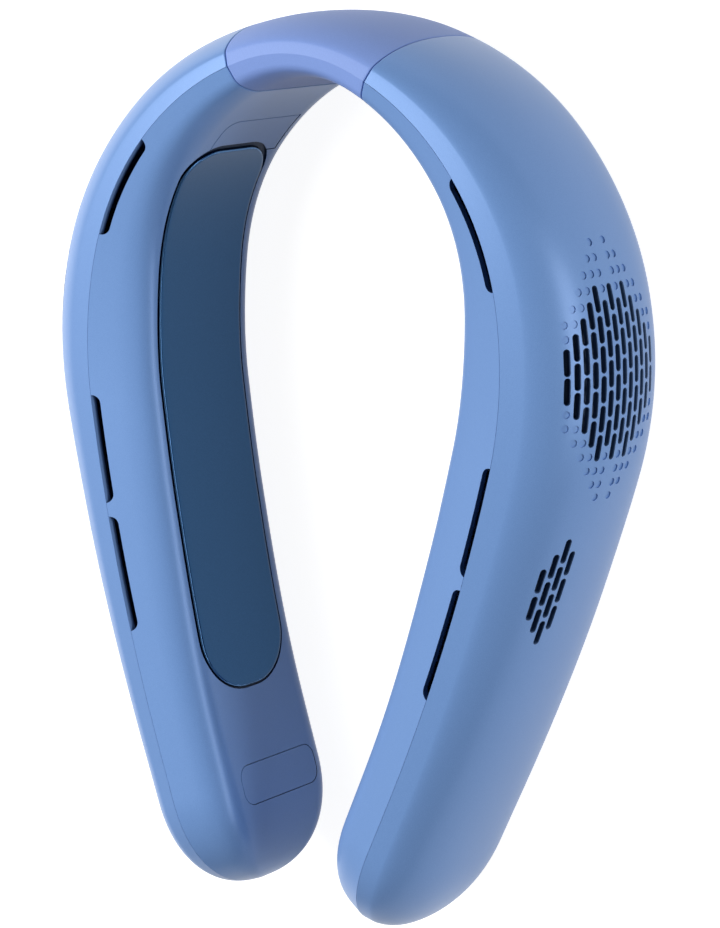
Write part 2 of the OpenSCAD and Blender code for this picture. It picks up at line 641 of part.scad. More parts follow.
base_t = 1.5;
wall_t = 1.1;
cover_t = 1.4;
tube_r = 3.2;
bearing_r = 2.2;
tube_h = 8;
run_gap = 0.04;
stator_r = 8;
stator_a = 2.5;
stator_h = 4.5;
magnet_gap = 0.35;
magnet_t = 0.8;
cup_t = 0.8;
cup_top = 9.4;
hub_t = 1;
hub_gap = 0.05;
hub_r = stator_r + magnet_gap + magnet_t + cup_t + hub_gap + hub_t;
impeller_a = 2.6;
impeller_h = 10.2;
disc_t = 0.8;
blade_t = 0.7;
blade_in = hub_r + 1.4;
module blower_frame() at(fan_s) translate([0, blower_base, 0]) facing_out() children();
lug_root_share = scroll_r / norm([blower_lug_x, blower_lug_z]);
module lugs(at_z, t) for (k = [-1, 1]) translate([0, 0, at_z]) hull() {
    translate([k * blower_lug_x, -k * blower_lug_z, 0]) cylinder(r = boss_r + pilot_r, h = t, $fn = 32);
    translate([k * blower_lug_x, -k * blower_lug_z, 0] * lug_root_share)
        cylinder(r = boss_r + pilot_r, h = t, $fn = 32);
}
module lug_holes(r, at_z, t) for (k = [-1, 1]) translate([k * blower_lug_x, -k * blower_lug_z, at_z - over])
    cylinder(r = r, h = t + 2 * over, $fn = 32);
module blower_housing() color("dimgray") blower_frame() difference() {
    union() {
        cylinder(r = scroll_r + wall_t, h = base_t);
        cylinder(r = tube_r, h = tube_h);
        difference() {
            union() {
                cylinder(r = scroll_r + wall_t, h = scroll_h);
                lugs(scroll_h - lug_t, lug_t);
            }
            translate([0, 0, base_t]) cylinder(r = scroll_r, h = scroll_h);
            // Mouths toward the shoulder outlet and toward the heat sink
            for (k = [-1, 1]) translate([k * scroll_r, 0, (scroll_h - lug_t + base_t + over) / 2])
                cube([scroll_r, scroll_r, scroll_h - lug_t - base_t - over], center = true);
        }
    }
    translate([0, 0, -over]) cylinder(r = bearing_r + run_gap / 4, h = tube_h + 2 * over);
    lug_holes(pilot_r + seat_gap, scroll_h - lug_t, lug_t);
}
module blower_cover() color("slategray") blower_frame() difference() {
    translate([0, 0, scroll_h]) cylinder(r = scroll_r + wall_t, h = cover_t);
    translate([0, 0, scroll_h - over]) cylinder(r = mouth_r, h = cover_t + 2 * over);
    for (k = [-1, 1]) translate([k * blower_lug_x, -k * blower_lug_z, scroll_h - over])
        cylinder(r = boss_r + pilot_r, h = cover_t + 2 * over);
}
module blower_screws() color("darkgray") blower_frame()
    for (k = [-1, 1]) translate([k * blower_lug_x, -k * blower_lug_z, scroll_h - lug_t - case_head_t]) {
        cylinder(r = case_head_r, h = case_head_t, $fn = 32);
        translate([0, 0, case_head_t]) cylinder(r = pilot_r - run_gap, h = lug_t + screw_in - over, $fn = 32);
    }
teeth = 9;
winding_r = 1.6;
module motor_stator() color("chocolate") blower_frame() translate([0, 0, stator_a]) difference() {
    cylinder(r = stator_r, h = stator_h);
    translate([0, 0, -over]) cylinder(r = tube_r + run_gap, h = stator_h + 2 * over);
    for (i = [0:teeth - 1]) rotate(i * 360 / teeth) {
        translate([stator_r - winding_r * 1.5, 0, -over]) cylinder(r = winding_r, h = stator_h + 2 * over);
        translate([stator_r - winding_r, -blade_t / 2, -over])
            cube([winding_r * 2, blade_t, stator_h + 2 * over]);
    }
}
module motor_bearing() color("peru") blower_frame() difference() {
    translate([0, 0, over]) cylinder(r = bearing_r, h = tube_h - over);
    cylinder(r = shaft_r + run_gap, h = tube_h + over);
}
module motor_shaft() color("lightgray") blower_frame() translate([0, 0, over])
    cylinder(r = shaft_r, h = cup_top - over);
module motor_rotor() color("gray") blower_frame() {
    difference() {
        translate([0, 0, impeller_a]) cylinder(r = hub_r - hub_t - hub_gap, h = cup_top - impeller_a);
        translate([0, 0, impeller_a - over])
            cylinder(r = hub_r - hub_t - hub_gap - cup_t, h = cup_top - cup_t - impeller_a + over);
        cylinder(r = shaft_r + run_gap / 4, h = cup_top + over);
    }
    difference() {
        translate([0, 0, stator_a + run_gap])
            cylinder(r = hub_r - hub_t - hub_gap - cup_t - run_gap / 4, h = stator_h);
        cylinder(r = stator_r + magnet_gap, h = scroll_h);
    }
}
// One forward-curved blade, as a sweep of short chords
blade_turn = 32;
module blade() {
    steps = 6;
    line = [for (i = [0:steps]) let (t = i / steps, r = mix(blade_in, impeller_r - blade_t / 4, t),
            a = blade_turn * t * t) [r, a]];
    polygon(concat([for (p = line) p[0] * [cos(p[1]), sin(p[1])]],
        back([for (p = line) let (w = blade_t / p[0] / to_rad(1)) p[0] * [cos(p[1] + w), sin(p[1] + w)]])));
}
module impeller() color("darkgray") blower_frame() difference() {
    union() {
        translate([0, 0, impeller_a]) cylinder(r = hub_r, h = cup_top + hub_gap * 2 + hub_t - impeller_a);
        translate([0, 0, impeller_a]) cylinder(r = impeller_r, h = disc_t);
        translate([0, 0, impeller_a]) linear_extrude(impeller_h)
            for (i = [0:blades - 1]) rotate(i * 360 / blades) blade();
        translate([0, 0, impeller_a + impeller_h - disc_t]) difference() {
            cylinder(r = impeller_r, h = disc_t);
            translate([0, 0, -over]) cylinder(r = impeller_r - disc_t * 2, h = disc_t + 2 * over);
        }
    }
    translate([0, 0, impeller_a - over])
        cylinder(r = hub_r - hub_t, h = cup_top + hub_gap - impeller_a + over);
}

// Heat sink and thermoelectric modules behind the plate

sink_s = 180;
sink_margin = 2;
sink_half = plate_half - sink_margin;
sink_base = 2;
fins = 12;
fin_t = 0.8;
fin_h = 8.5;
module_margin = 3.5;
module_w = 2 * (plate_half - module_margin);
module_t = 3.2;
module_apart = 3;
module_pitch = module_w + module_apart;
module_gap = 0.4;
module_places = [sink_s - module_pitch / 2, sink_s + module_pitch / 2];
// A frame on the inward side at s, turned to lie along that side
function lean(s) = atan((depth(-1, s - over) - depth(-1, s + over)) / over / 2);
module along(s, inset) at(s) translate([0, inset - depth(-1, s), 0]) rotate(lean(s)) children();
module peltier_modules() color("white") for (s = module_places)
    along(s, plate_depth + module_gap) translate([-module_w / 2, 0, -module_w / 2])
        cube([module_w, module_t, module_w]);
module heat_sink() color("silver") for (s = module_places)
    along(s, plate_depth + module_gap) translate([-module_w / 2, module_t, -sink_half]) {
        cube([module_w, sink_base, sink_half * 2]);
        for (i = [0:fins - 1]) translate([0, sink_base / 2, i * (2 * sink_half - fin_t) / (fins - 1)])
            cube([module_w, sink_base / 2 + fin_h, fin_t]);
    }

// Battery cells, circuit board and controls at the front of each arm

cell_back = 54.2;
cell_s = edge_len - cell_back;
cell_gap = 0.3;
cell_give = 0.9;
module battery_cells() color("gainsboro") along(cell_s, shell_wall + cell_give)
    for (k = [0, 1]) translate([-cell_len / 2, k * (cell_t + cell_gap), -cell_h / 2])
        cube([cell_len, cell_t, cell_h]);
module circuit_board() color("darkgreen") at(board_s) difference() {
    translate([-board_len / 2, board_out - board_t, -board_half - usb_deep])
        cube([board_len, board_t, 2 * board_half + usb_deep]);
    for (k = [-1, 1]) translate([k * board_post_x, board_out - board_t - over, k * board_post_z]) facing_out()
        cylinder(r = pilot_r + seat_gap, h = board_t + 2 * over, $fn = 32);
}
module board_screws() color("dimgray") at(board_s)
    for (k = [-1, 1]) translate([k * board_post_x, board_out - board_t, k * board_post_z]) facing_out() {
        translate([0, 0, -case_head_t]) cylinder(r = case_head_r, h = case_head_t, $fn = 32);
        cylinder(r = pilot_r - run_gap, h = board_t + screw_in - lug_t - over, $fn = 32);
    }
switch_w = 5;
switch_h = 1.8;
plunger_r = 1.2;
plunger_h = 0.4;
module tact_switches() color("black") on_right()
    for (x = button_places) at(board_s) translate([x, board_out, 0]) {
        translate([-switch_w / 2, 0, -switch_w / 2]) cube([switch_w, switch_h, switch_w]);
        facing_out() cylinder(r = plunger_r, h = switch_h + plunger_h, $fn = 32);
    }
module indicator_light() color("white") on_right() at(board_s) translate([light_x, board_out, 0]) facing_out()
    cylinder(r = light_r, h = reach(board_s, light_x, 0) - board_out, $fn = 24);
module usb_socket() color("silver") on_right() at(board_s) translate([usb_x, usb_u, usb_mouth - half_h]) {
    difference() {
        usb_outline(0, usb_deep);
        translate([0, 0, -over]) usb_outline(-usb_wall, usb_deep);
    }
    translate([-usb_w / 2 + usb_t / 2, -usb_wall, over]) cube([usb_w - usb_t, usb_wall * 2, usb_deep - over]);
}
usb_wall = 0.35;
usb_mouth = 2.4;
flange_t = 1;
flange_w = 1.1;
stem_r = 1.5;
module button(x) color("steelblue") on_right() at(board_s) {
    top = reach(board_s, x, 0);
    foot = board_out + switch_h + plunger_h + button_travel + seat_gap / 5;
    translate([x, foot, 0]) facing_out() {
        cylinder(r = stem_r, h = top - foot);
        translate([0, 0, top - shell_wall - button_gap * 1.5 - flange_t - foot])
            cylinder(r = button_r + flange_w, h = flange_t);
        translate([0, 0, top - shell_wall - button_gap * 1.5 - flange_t - foot])
            cylinder(r = button_r, h = shell_wall + button_gap * 3 + flange_t);
    }
}
module power_button() button(button_places[0]);
module mode_button() button(button_places[1]);

neck_sleeve();
neck_spine();
neck_cable();
on_left() outer_shell(false);  // outer_shell_left
on_right() outer_shell(true);  // outer_shell_right
on_left() inner_shell();  // inner_shell_left
on_right() inner_shell();  // inner_shell_right
on_left() cooling_plate();  // cooling_plate_left
on_right() cooling_plate();  // cooling_plate_right
on_left() plate_seal();  // plate_seal_left
on_right() plate_seal();  // plate_seal_right
on_left() bridge_trim();  // bridge_trim_left
on_right() bridge_trim();  // bridge_trim_right
on_left() tip_cover();  // tip_cover_left
on_right() tip_cover();  // tip_cover_right
on_left() hinge_bracket();  // hinge_bracket_left
on_right() hinge_bracket();  // hinge_bracket_right
on_left() hinge_pin();  // hinge_pin_left
on_right() hinge_pin();  // hinge_pin_right
on_left() hinge_washers();  // hinge_washers_left
on_right() hinge_washers();  // hinge_washers_right
on_left() intake_screen();  // intake_screen_left
on_right() intake_screen();  // intake_screen_right
on_left() blower_housing();  // blower_housing_left
on_right() blower_housing();  // blower_housing_right
on_left() blower_cover();  // blower_cover_left
on_right() blower_cover();  // blower_cover_right
on_left() blower_screws();  // blower_screws_left
on_right() blower_screws();  // blower_screws_right
on_left() motor_stator();  // motor_stator_left
on_right() motor_stator();  // motor_stator_right
on_left() motor_bearing();  // motor_bearing_left
on_right() motor_bearing();  // motor_bearing_right
on_left() motor_rotor();  // motor_rotor_left
on_right() motor_rotor();  // motor_rotor_right
on_left() motor_shaft();  // motor_shaft_left
on_right() motor_shaft();  // motor_shaft_right
on_left() impeller();  // impeller_left
on_right() impeller();  // impeller_right
on_left() heat_sink();  // heat_sink_left
on_right() heat_sink();  // heat_sink_right
on_left() peltier_modules();  // peltier_modules_left
on_right() peltier_modules();  // peltier_modules_right
on_left() battery_cells();  // battery_cells_left
on_right() battery_cells();  // battery_cells_right
on_left() circuit_board();  // circuit_board_left
on_right() circuit_board();  // circuit_board_right
on_left() board_screws();  // board_screws_left
on_right() board_screws();  // board_screws_right
on_left() case_screws();  // case_screws_left
on_right() case_screws();  // case_screws_right
tact_switches();
indicator_light();
usb_socket();
power_button();
mode_button();
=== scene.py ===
import math

import bmesh
import bpy
import numpy as np
from mathutils import Matrix, Vector


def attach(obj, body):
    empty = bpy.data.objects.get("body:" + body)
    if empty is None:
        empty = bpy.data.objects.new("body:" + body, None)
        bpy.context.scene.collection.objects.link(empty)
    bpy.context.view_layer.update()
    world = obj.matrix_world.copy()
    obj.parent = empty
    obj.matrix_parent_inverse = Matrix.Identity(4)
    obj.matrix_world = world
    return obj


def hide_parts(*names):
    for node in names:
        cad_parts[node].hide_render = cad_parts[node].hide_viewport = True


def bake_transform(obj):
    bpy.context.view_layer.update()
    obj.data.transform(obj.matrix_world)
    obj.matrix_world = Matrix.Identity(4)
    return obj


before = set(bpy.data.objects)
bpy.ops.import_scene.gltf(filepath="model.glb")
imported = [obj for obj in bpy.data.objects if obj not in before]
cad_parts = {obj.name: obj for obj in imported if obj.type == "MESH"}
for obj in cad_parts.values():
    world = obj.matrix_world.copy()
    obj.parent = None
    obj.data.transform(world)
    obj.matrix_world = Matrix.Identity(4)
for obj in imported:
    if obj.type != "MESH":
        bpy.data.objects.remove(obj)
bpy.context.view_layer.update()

# Outer shells. Each arm's outward half is one deep moulding in pearly blue paint over
# plastic, screwed to the inner half. Its two grilles are slots through the wall, and the
# main one fades out in rows of shallow blind dimples.
# Half height, the nape's place, the edge's arcs (radius, first and last heading in degrees), the
# tip's straight run and rounding, and the section's depths at six even stations.
RISE = 29.8
SHIFT_Y = 117.494
BENDS = [(50.0, 0, 20), (79.0, 20, 80), (114.0, 80, 101), (575.0, 101, 111)]
TIP_RUN, TIP_ROUND, TIP_POWER, TIP_LEAST = 46.0, 30.0, 2.2, 0.02
OUT_DEPTHS = [10.2, 16.7, 22.8, 20.4, 17.5, 16.0]
IN_DEPTHS = [6.8, 11.0, 17.7, 17.6, 15.6, 14.6]
BEND_LENGTHS = [r * math.radians(b - a) for r, a, b in BENDS]
BEND_STARTS = np.concatenate([[0], np.cumsum(BEND_LENGTHS)])
CORNERS = [(0.0, 0.0)]
for r, a, b in BENDS:
    a, b = math.radians(a), math.radians(b)
    x, y = CORNERS[-1]
    CORNERS.append((x + r * (math.sin(b) - math.sin(a)), y + r * (math.cos(b) - math.cos(a))))
EDGE_LENGTH = BEND_STARTS[-1] + TIP_RUN
MM = 0.001


def edge(s):
    """The ring's top edge in plan at the distances s from the nape: x, y and heading."""
    s = np.asarray(s, float)
    sign, q = np.where(s < 0, -1.0, 1.0), np.abs(s)
    x, y, h = np.zeros_like(q), np.zeros_like(q), np.zeros_like(q)
    for i, (r, a, b) in enumerate(BENDS):
        a = math.radians(a)
        on = (q >= BEND_STARTS[i]) & (q < BEND_STARTS[i + 1])
        t = a + (q[on] - BEND_STARTS[i]) / r
        x[on] = CORNERS[i][0] + r * (np.sin(t) - math.sin(a))
        y[on] = CORNERS[i][1] + r * (np.cos(t) - math.cos(a))
        h[on] = t
    on = q >= BEND_STARTS[-1]
    t = math.radians(BENDS[-1][2])
    x[on] = CORNERS[-1][0] + (q[on] - BEND_STARTS[-1]) * math.cos(t)
    y[on] = CORNERS[-1][1] - (q[on] - BEND_STARTS[-1]) * math.sin(t)
    h[on] = t
    return x * sign, y, h * sign


def spot(s, u, z):
    """Points in millimetres at s along the edge, u outward from it and z from mid-height."""
    s, u, z = np.broadcast_arrays(np.asarray(s, float), u, z)
    x, y, h = edge(s.ravel())
    x, y, h = (v.reshape(s.shape) for v in (x, y, h))
    return np.stack([x + u * np.sin(h), y + u * np.cos(h) + SHIFT_Y, z + RISE], -1)


def depth(side, s):
    """Depth of the outward (1) or inward (-1) half of the section at s."""
    v = OUT_DEPTHS if side > 0 else IN_DEPTHS
    v = np.array([v[1]] + v + [2 * v[-1] - v[-2]])
    x = np.clip(np.abs(s) / EDGE_LENGTH, 0, 0.99999) * (len(OUT_DEPTHS) - 1)
    i = np.floor(x).astype(int)
    f = x - i
    a, b, c, d = v[i], v[i + 1], v[i + 2], v[i + 3]
    square, cube = 2 * a - 5 * b + 4 * c - d, 3 * b - a - 3 * c + d
    return (2 * b + (c - a) * f + square * f**2 + cube * f**3) / 2


def tip_factor(s, end=EDGE_LENGTH, round_=TIP_ROUND):
    """The share of the section that is left at s, where it shrinks toward the tip."""
    t = np.clip((np.asarray(s, float) - end + round_) / round_, 0, 1)
    return np.maximum(TIP_LEAST, (1 - t**TIP_POWER) ** (1 / TIP_POWER))


def section(side):
    """The skin from the top edge to the bottom edge, as factors: u = d * A, z = h * B - d * C."""
    w, fall, face, near, far, flat = (
        (0.373, 0.249, 0.619, 0.75, 0.2, 0.0) if side > 0 else (0.655, 0.352, 0.745, 0.62, 0.35, 0.6))
    top, corner = np.array([0, 1, 0.0]), np.array([w, 1, w * fall])
    turn, end = np.array([1, face, 0.0]), np.array([1, flat, 0.0])
    a = top + (corner - top) * near
    b = corner + (turn - corner) * far

    def bow(p, q, r, n):
        t = np.linspace(0, 1, n)[:, None]
        return (1 - t) ** 2 * p + 2 * t * (1 - t) * q + t**2 * r
    line = [top + (a - top) * t for t in (0, 0.04, 0.1, 0.3, 0.65)]
    line = np.vstack([line, bow(a, corner, b, 14), bow(b, turn, end, 22)[1:]])
    if side < 0:
        line = np.vstack([line, [[1, flat * t, 0] for t in (0.75, 0.5, 0.25, 0)]])
    lower = line[:-1][::-1].copy()
    lower[:, 1:] *= -1
    return np.vstack([line, lower])


def ring(side, s, inset=0.0, lower=0.0, factor=1.0, gap=0.05, end=EDGE_LENGTH):
    """The skin's points across the stations s, moved in by inset and down by lower."""
    k = section(side)
    d = (depth(side, s) - inset) * factor
    h = (RISE - lower) * factor
    u = np.outer(d, k[:, 0])
    z = np.outer(h * np.ones_like(d), k[:, 1]) - np.outer(d, k[:, 2])
    return spot(np.asarray(s)[:, None], side * (u + gap), z)


def skin_u(side, s, z):
    """Depth of the skin at s and z."""
    s, z = np.broadcast_arrays(np.asarray(s, float), np.asarray(z, float))
    out = np.zeros(s.shape)
    k = section(side)
    for i in np.ndindex(s.shape):
        f = float(tip_factor(s[i]))
        d = float(depth(side, s[i])) * f
        out[i] = np.interp(-z[i], d * k[:, 2] - RISE * f * k[:, 1], d * k[:, 0])
    return out


def local(s, x, u, z):
    """Points in the straight frame at s, with x along the edge and u outward."""
    ex, ey, h = (float(v) for v in edge(np.array(s, float)))
    x, u, z = np.broadcast_arrays(np.asarray(x, float), u, z)
    px = ex + x * math.cos(h) + u * math.sin(h)
    py = ey - x * math.sin(h) + u * math.cos(h) + SHIFT_Y
    return np.stack([px, py, z + RISE], -1)


def skin_reach(s, x, z):
    """Outward distance of the outer skin in the straight frame at s."""
    i = int(np.searchsorted(BEND_STARTS, s, "right")) - 1
    r = BENDS[min(i, len(BENDS) - 1)][0]
    q = s + x * r / (r + float(depth(1, s)))
    (ax, ay, h), (bx, by, g) = edge(np.array(s, float)), edge(np.array(q, float))
    shift = (bx - ax) * math.sin(h) + (by - ay) * math.cos(h)
    return float(shift + skin_u(1, q, z) * math.cos(g - h))


def mesh_object(name, verts_mm, faces, materials, arm=1):
    """A mesh with outward normals, sharp edges kept, in metres; arm -1 is the mirrored one."""
    v = np.asarray(verts_mm, float).reshape(-1, 3) * [MM * arm, MM, MM]
    mesh = bpy.data.meshes.new(name)
    mesh.from_pydata(v.tolist(), [], [list(map(int, f)) for f in faces])
    for m in materials:
        mesh.materials.append(m)
    obj = bpy.data.objects.new(name, mesh)
    bpy.context.scene.collection.objects.link(obj)
    tidy(mesh)
    return obj


def tidy(mesh, angle=32):
    """Normals outward, smooth faces, and edges over the angle sharp."""
    bm = bmesh.new()
    bm.from_mesh(mesh)
    bmesh.ops.remove_doubles(bm, verts=bm.verts, dist=1e-7)
    bmesh.ops.recalc_face_normals(bm, faces=bm.faces)
    limit = math.radians(angle)
    for e in bm.edges:
        e.smooth = not (len(e.link_faces) == 2 and e.calc_face_angle(0) > limit)
    for f in bm.faces:
        f.smooth = True
    bm.to_mesh(mesh)
    bm.free()


def loft(rings):
    """Vertices and faces of a solid through rings, each a front line and its back line."""
    n, m = rings.shape[:2]
    idx = np.arange(n * m).reshape(n, m)
    a, b = idx[:-1], idx[1:]
    faces = np.stack([a, np.roll(a, -1, 1), np.roll(b, -1, 1), b], -1).reshape(-1, 4)
    k = np.arange(m // 2 - 1)
    first = np.stack([idx[0, m - 1 - k], idx[0, m - 2 - k], idx[0, k + 1], idx[0, k]], -1)
    last = np.stack([idx[-1, k], idx[-1, k + 1], idx[-1, m - 2 - k], idx[-1, m - 1 - k]], -1)
    return rings.reshape(-1, 3), np.vstack([faces, first, last])


def cut(obj, *cutters, operation="DIFFERENCE"):
    """Cuts the solids away from obj or adds them; each face keeps its own solid's material."""
    view = bpy.context.view_layer
    for cutter in cutters:
        mod = obj.modifiers.new("cut", "BOOLEAN")
        mod.operation, mod.solver, mod.object = operation, "MANIFOLD", cutter
        view.update()
        graph = bpy.context.evaluated_depsgraph_get()
        done = bpy.data.meshes.new_from_object(obj.evaluated_get(graph))
        obj.modifiers.clear()
        obj.data = done
    for cutter in cutters:
        bpy.data.objects.remove(cutter)
    tidy(obj.data)


def turned(name, s, x, z, profile, materials, arm=1, n=40):
    """A round solid whose axis points outward at s; the profile lists its (radius, u)."""
    a = np.linspace(0, 2 * math.pi, n, endpoint=False)
    verts = np.concatenate([local(s, x + r * np.cos(a), u, z + r * np.sin(a)) for r, u in profile])
    idx = np.arange(len(verts)).reshape(-1, n)
    a, b = idx[:-1], idx[1:]
    sides = np.stack([a, np.roll(a, -1, 1), np.roll(b, -1, 1), b], -1).reshape(-1, 4)
    return mesh_object(name, verts, sides.tolist() + [list(idx[0]), list(idx[-1])], materials, arm)


def shade(name, base, rough, metal=0.0, **values):
    """A material with a Principled shader; returns it with its node tree and the shader."""
    m = bpy.data.materials.new(name)
    m.use_nodes = True
    m.node_tree.nodes.clear()
    t = m.node_tree
    out = t.nodes.new("ShaderNodeOutputMaterial")
    p = t.nodes.new("ShaderNodeBsdfPrincipled")
    t.links.new(p.outputs[0], out.inputs[0])
    p.inputs["Base Color"].default_value = (*base, 1)
    p.inputs["Roughness"].default_value = rough
    p.inputs["Metallic"].default_value = metal
    for k, v in values.items():
        p.inputs[k.replace("_", " ")].default_value = v
    return m, t, p


def grain(t, p, scale, colours, rough=None, bump=0.0, distance=0.00005, stretch=None):
    """Fine variation of colour, roughness and height from one noise in object coordinates."""
    co = t.nodes.new("ShaderNodeTexCoord").outputs["Object"]
    if stretch:
        place = t.nodes.new("ShaderNodeMapping")
        place.inputs["Scale"].default_value = stretch
        t.links.new(co, place.inputs["Vector"])
        co = place.outputs["Vector"]
    n = t.nodes.new("ShaderNodeTexNoise")
    n.inputs["Scale"].default_value = scale
    n.inputs["Detail"].default_value = 2
    t.links.new(co, n.inputs["Vector"])
    ramp = t.nodes.new("ShaderNodeValToRGB")
    for stop, share, colour in zip(ramp.color_ramp.elements, (0.3, 0.7), colours):
        stop.position, stop.color = share, (*colour, 1)
    t.links.new(n.outputs["Fac"], ramp.inputs["Fac"])
    t.links.new(ramp.outputs["Color"], p.inputs["Base Color"])
    if rough:
        r = t.nodes.new("ShaderNodeMapRange")
        r.inputs["To Min"].default_value, r.inputs["To Max"].default_value = rough
        t.links.new(n.outputs["Fac"], r.inputs["Value"])
        t.links.new(r.outputs["Result"], p.inputs["Roughness"])
    if bump:
        b = t.nodes.new("ShaderNodeBump")
        b.inputs["Strength"].default_value = bump
        b.inputs["Distance"].default_value = distance
        t.links.new(n.outputs["Fac"], b.inputs["Height"])
        t.links.new(b.outputs["Normal"], p.inputs["Normal"])
    return ramp


def pearl(name, low, high, painted_sheen_tint):
    """Satin pearl paint: fine flakes, and a painted sheen, a paler tint mixed into the colour toward
    grazing angles.
    """
    m, t, p = shade(name, low, 0.38, metal=0.1, Coat_Weight=0.05, Coat_Roughness=0.2,
                    Specular_IOR_Level=0.22)
    ramp = grain(t, p, 5200, (low, high), rough=(0.33, 0.42), bump=0.12, distance=0.00002)
    # Painted sheen: the facing mixes the base colour toward the paler tint at grazing angles.
    facing = t.nodes.new("ShaderNodeLayerWeight")
    facing.inputs["Blend"].default_value = 0.35
    mix = t.nodes.new("ShaderNodeMix")
    mix.data_type = "RGBA"
    mix.inputs["B"].default_value = (*painted_sheen_tint, 1)
    gain = t.nodes.new("ShaderNodeMath")
    gain.operation = "MULTIPLY"
    gain.inputs[1].default_value = 0.5
    t.links.new(facing.outputs["Facing"], gain.inputs[0])
    t.links.new(gain.outputs[0], mix.inputs["Factor"])
    t.links.new(ramp.outputs["Color"], mix.inputs["A"])
    t.links.new(mix.outputs["Result"], p.inputs["Base Color"])
    return m


# The third colour is the paler tint of the painted sheen at grazing angles.
paint = pearl("pearl_shell", (0.147, 0.283, 0.585), (0.181, 0.328, 0.645), (0.24, 0.36, 0.655))
inside, it, ip = shade("shell_inside", (0.028, 0.068, 0.165), 0.5)
grain(it, ip, 900, ((0.024, 0.06, 0.15), (0.032, 0.076, 0.18)), rough=(0.45, 0.58), bump=0.1)

# The seam beside the sleeve, with the steps and insets of its soft edge, and the shells' walls
SEAM = 23.65
SEAM_STEPS, SEAM_SOFT = (0, 0.06, 0.16, 0.3, 0.7), (0.26, 0.13, 0.04, 0.01)
WALL, RIM = 1.8, 2.2
BODY_ROWS, TIP_ROWS = 205, 32


def shell(name, side, arm):
    """One half of an arm, open toward the other half, with softly rounded seam and rim."""
    rows = np.linspace(SEAM + 1.6, EDGE_LENGTH - TIP_ROUND, BODY_ROWS)
    body = np.concatenate([SEAM + np.array(SEAM_STEPS), rows])
    soft = np.zeros(len(body) + TIP_ROWS)
    soft[:4] = SEAM_SOFT
    turn = np.sin(np.radians(np.linspace(0, 90, TIP_ROWS + 1)[1:]))
    s = np.concatenate([body, EDGE_LENGTH - TIP_ROUND + TIP_ROUND * turn])
    front = ring(side, s, soft, soft, tip_factor(s))
    end = EDGE_LENGTH - WALL
    inner_s = np.concatenate([body, end - TIP_ROUND + WALL + (TIP_ROUND - WALL) * turn])
    back = ring(side, inner_s, WALL, RIM, tip_factor(inner_s, end, TIP_ROUND - WALL))
    rings = np.concatenate([front, back[:, ::-1]], 1)
    verts, faces = loft(rings)
    return mesh_object(name, verts, faces, [paint, inside], arm)


def node_tree(name, inputs):
    """An empty geometry tree with named inputs, and shortcuts to add and link nodes."""
    tree = bpy.data.node_groups.new(name, "GeometryNodeTree")
    tree.interface.new_socket("Geometry", in_out="INPUT", socket_type="NodeSocketGeometry")
    for label, kind, value in inputs:
        sock = tree.interface.new_socket(label, in_out="INPUT", socket_type=kind)
        if value is not None:
            sock.default_value = value
    tree.interface.new_socket("Geometry", in_out="OUTPUT", socket_type="NodeSocketGeometry")
    src, out = tree.nodes.new("NodeGroupInput"), tree.nodes.new("NodeGroupOutput")

    def add(kind, links=None, **props):
        n = tree.nodes.new(kind)
        for k, v in props.items():
            setattr(n, k, v)
        for socket, value in (links or {}).items():
            target = n.inputs[socket]
            if isinstance(value, bpy.types.NodeSocket):
                tree.links.new(value, target)
            else:
                target.default_value = value
        return n
    return tree, src.outputs, out.inputs["Geometry"], add


def through_tree(name, source, tree, values):
    """The plain mesh that the tree makes from the source object, which goes."""
    mod = source.modifiers.new("nodes", "NODES")
    mod.node_group = tree
    ids = {i.name: i.identifier for i in tree.interface.items_tree
           if i.item_type == "SOCKET" and i.in_out == "INPUT"}
    for label, value in values.items():
        mod[ids[label]] = value
    bpy.context.view_layer.update()
    graph = bpy.context.evaluated_depsgraph_get()
    mesh = bpy.data.meshes.new_from_object(source.evaluated_get(graph))
    mesh.name = name
    source.modifiers.clear()
    bpy.data.objects.remove(source)
    obj = bpy.data.objects.new(name, mesh)
    bpy.context.scene.collection.objects.link(obj)
    return obj


# One slot cutter, stretched from a flared pin and placed on each point along its own turn
slot_tree, si, s_out, add = node_tree("slot_cutters", [
    ("Length", "NodeSocketFloat", 0.007), ("Width", "NodeSocketFloat", 0.0016),
    ("Depth", "NodeSocketFloat", 0.006), ("Flare", "NodeSocketFloat", 0.0002),
    ("Material", "NodeSocketMaterial", None)])
half_width = add("ShaderNodeMath", {0: si["Width"], 1: 0.5}, operation="MULTIPLY").outputs[0]
pin = add("GeometryNodeMeshCylinder", {
    "Vertices": 18, "Side Segments": 24, "Radius": half_width, "Depth": si["Depth"]})
at = add("GeometryNodeInputPosition").outputs[0]
xyz = add("ShaderNodeSeparateXYZ", {0: at})
high = add("ShaderNodeMath", {0: xyz.outputs["Z"], 1: si["Flare"]}, operation="ADD").outputs[0]
grow = add("ShaderNodeMath", {0: high, 1: 0.0}, operation="MAXIMUM").outputs[0]
share = add("ShaderNodeMath", {0: grow, 1: half_width}, operation="DIVIDE").outputs[0]
scale = add("ShaderNodeMath", {0: share, 1: 1.0}, operation="ADD").outputs[0]
slack = add("ShaderNodeMath", {0: si["Length"], 1: si["Width"]}, operation="SUBTRACT").outputs[0]
reach = add("ShaderNodeMath", {0: slack, 1: 0.5}, operation="MULTIPLY").outputs[0]
way = add("ShaderNodeMath", {0: xyz.outputs["X"]}, operation="SIGN").outputs[0]
shift = add("ShaderNodeMath", {0: way, 1: reach}, operation="MULTIPLY").outputs[0]
wide_x = add("ShaderNodeMath", {0: xyz.outputs["X"], 1: scale}, operation="MULTIPLY").outputs[0]
wide_y = add("ShaderNodeMath", {0: xyz.outputs["Y"], 1: scale}, operation="MULTIPLY").outputs[0]
new_x = add("ShaderNodeMath", {0: wide_x, 1: shift}, operation="ADD").outputs[0]
placed = add("ShaderNodeCombineXYZ", {0: new_x, 1: wide_y, 2: xyz.outputs["Z"]}).outputs[0]
formed = add("GeometryNodeSetPosition", {"Geometry": pin.outputs["Mesh"], "Position": placed}).outputs[0]
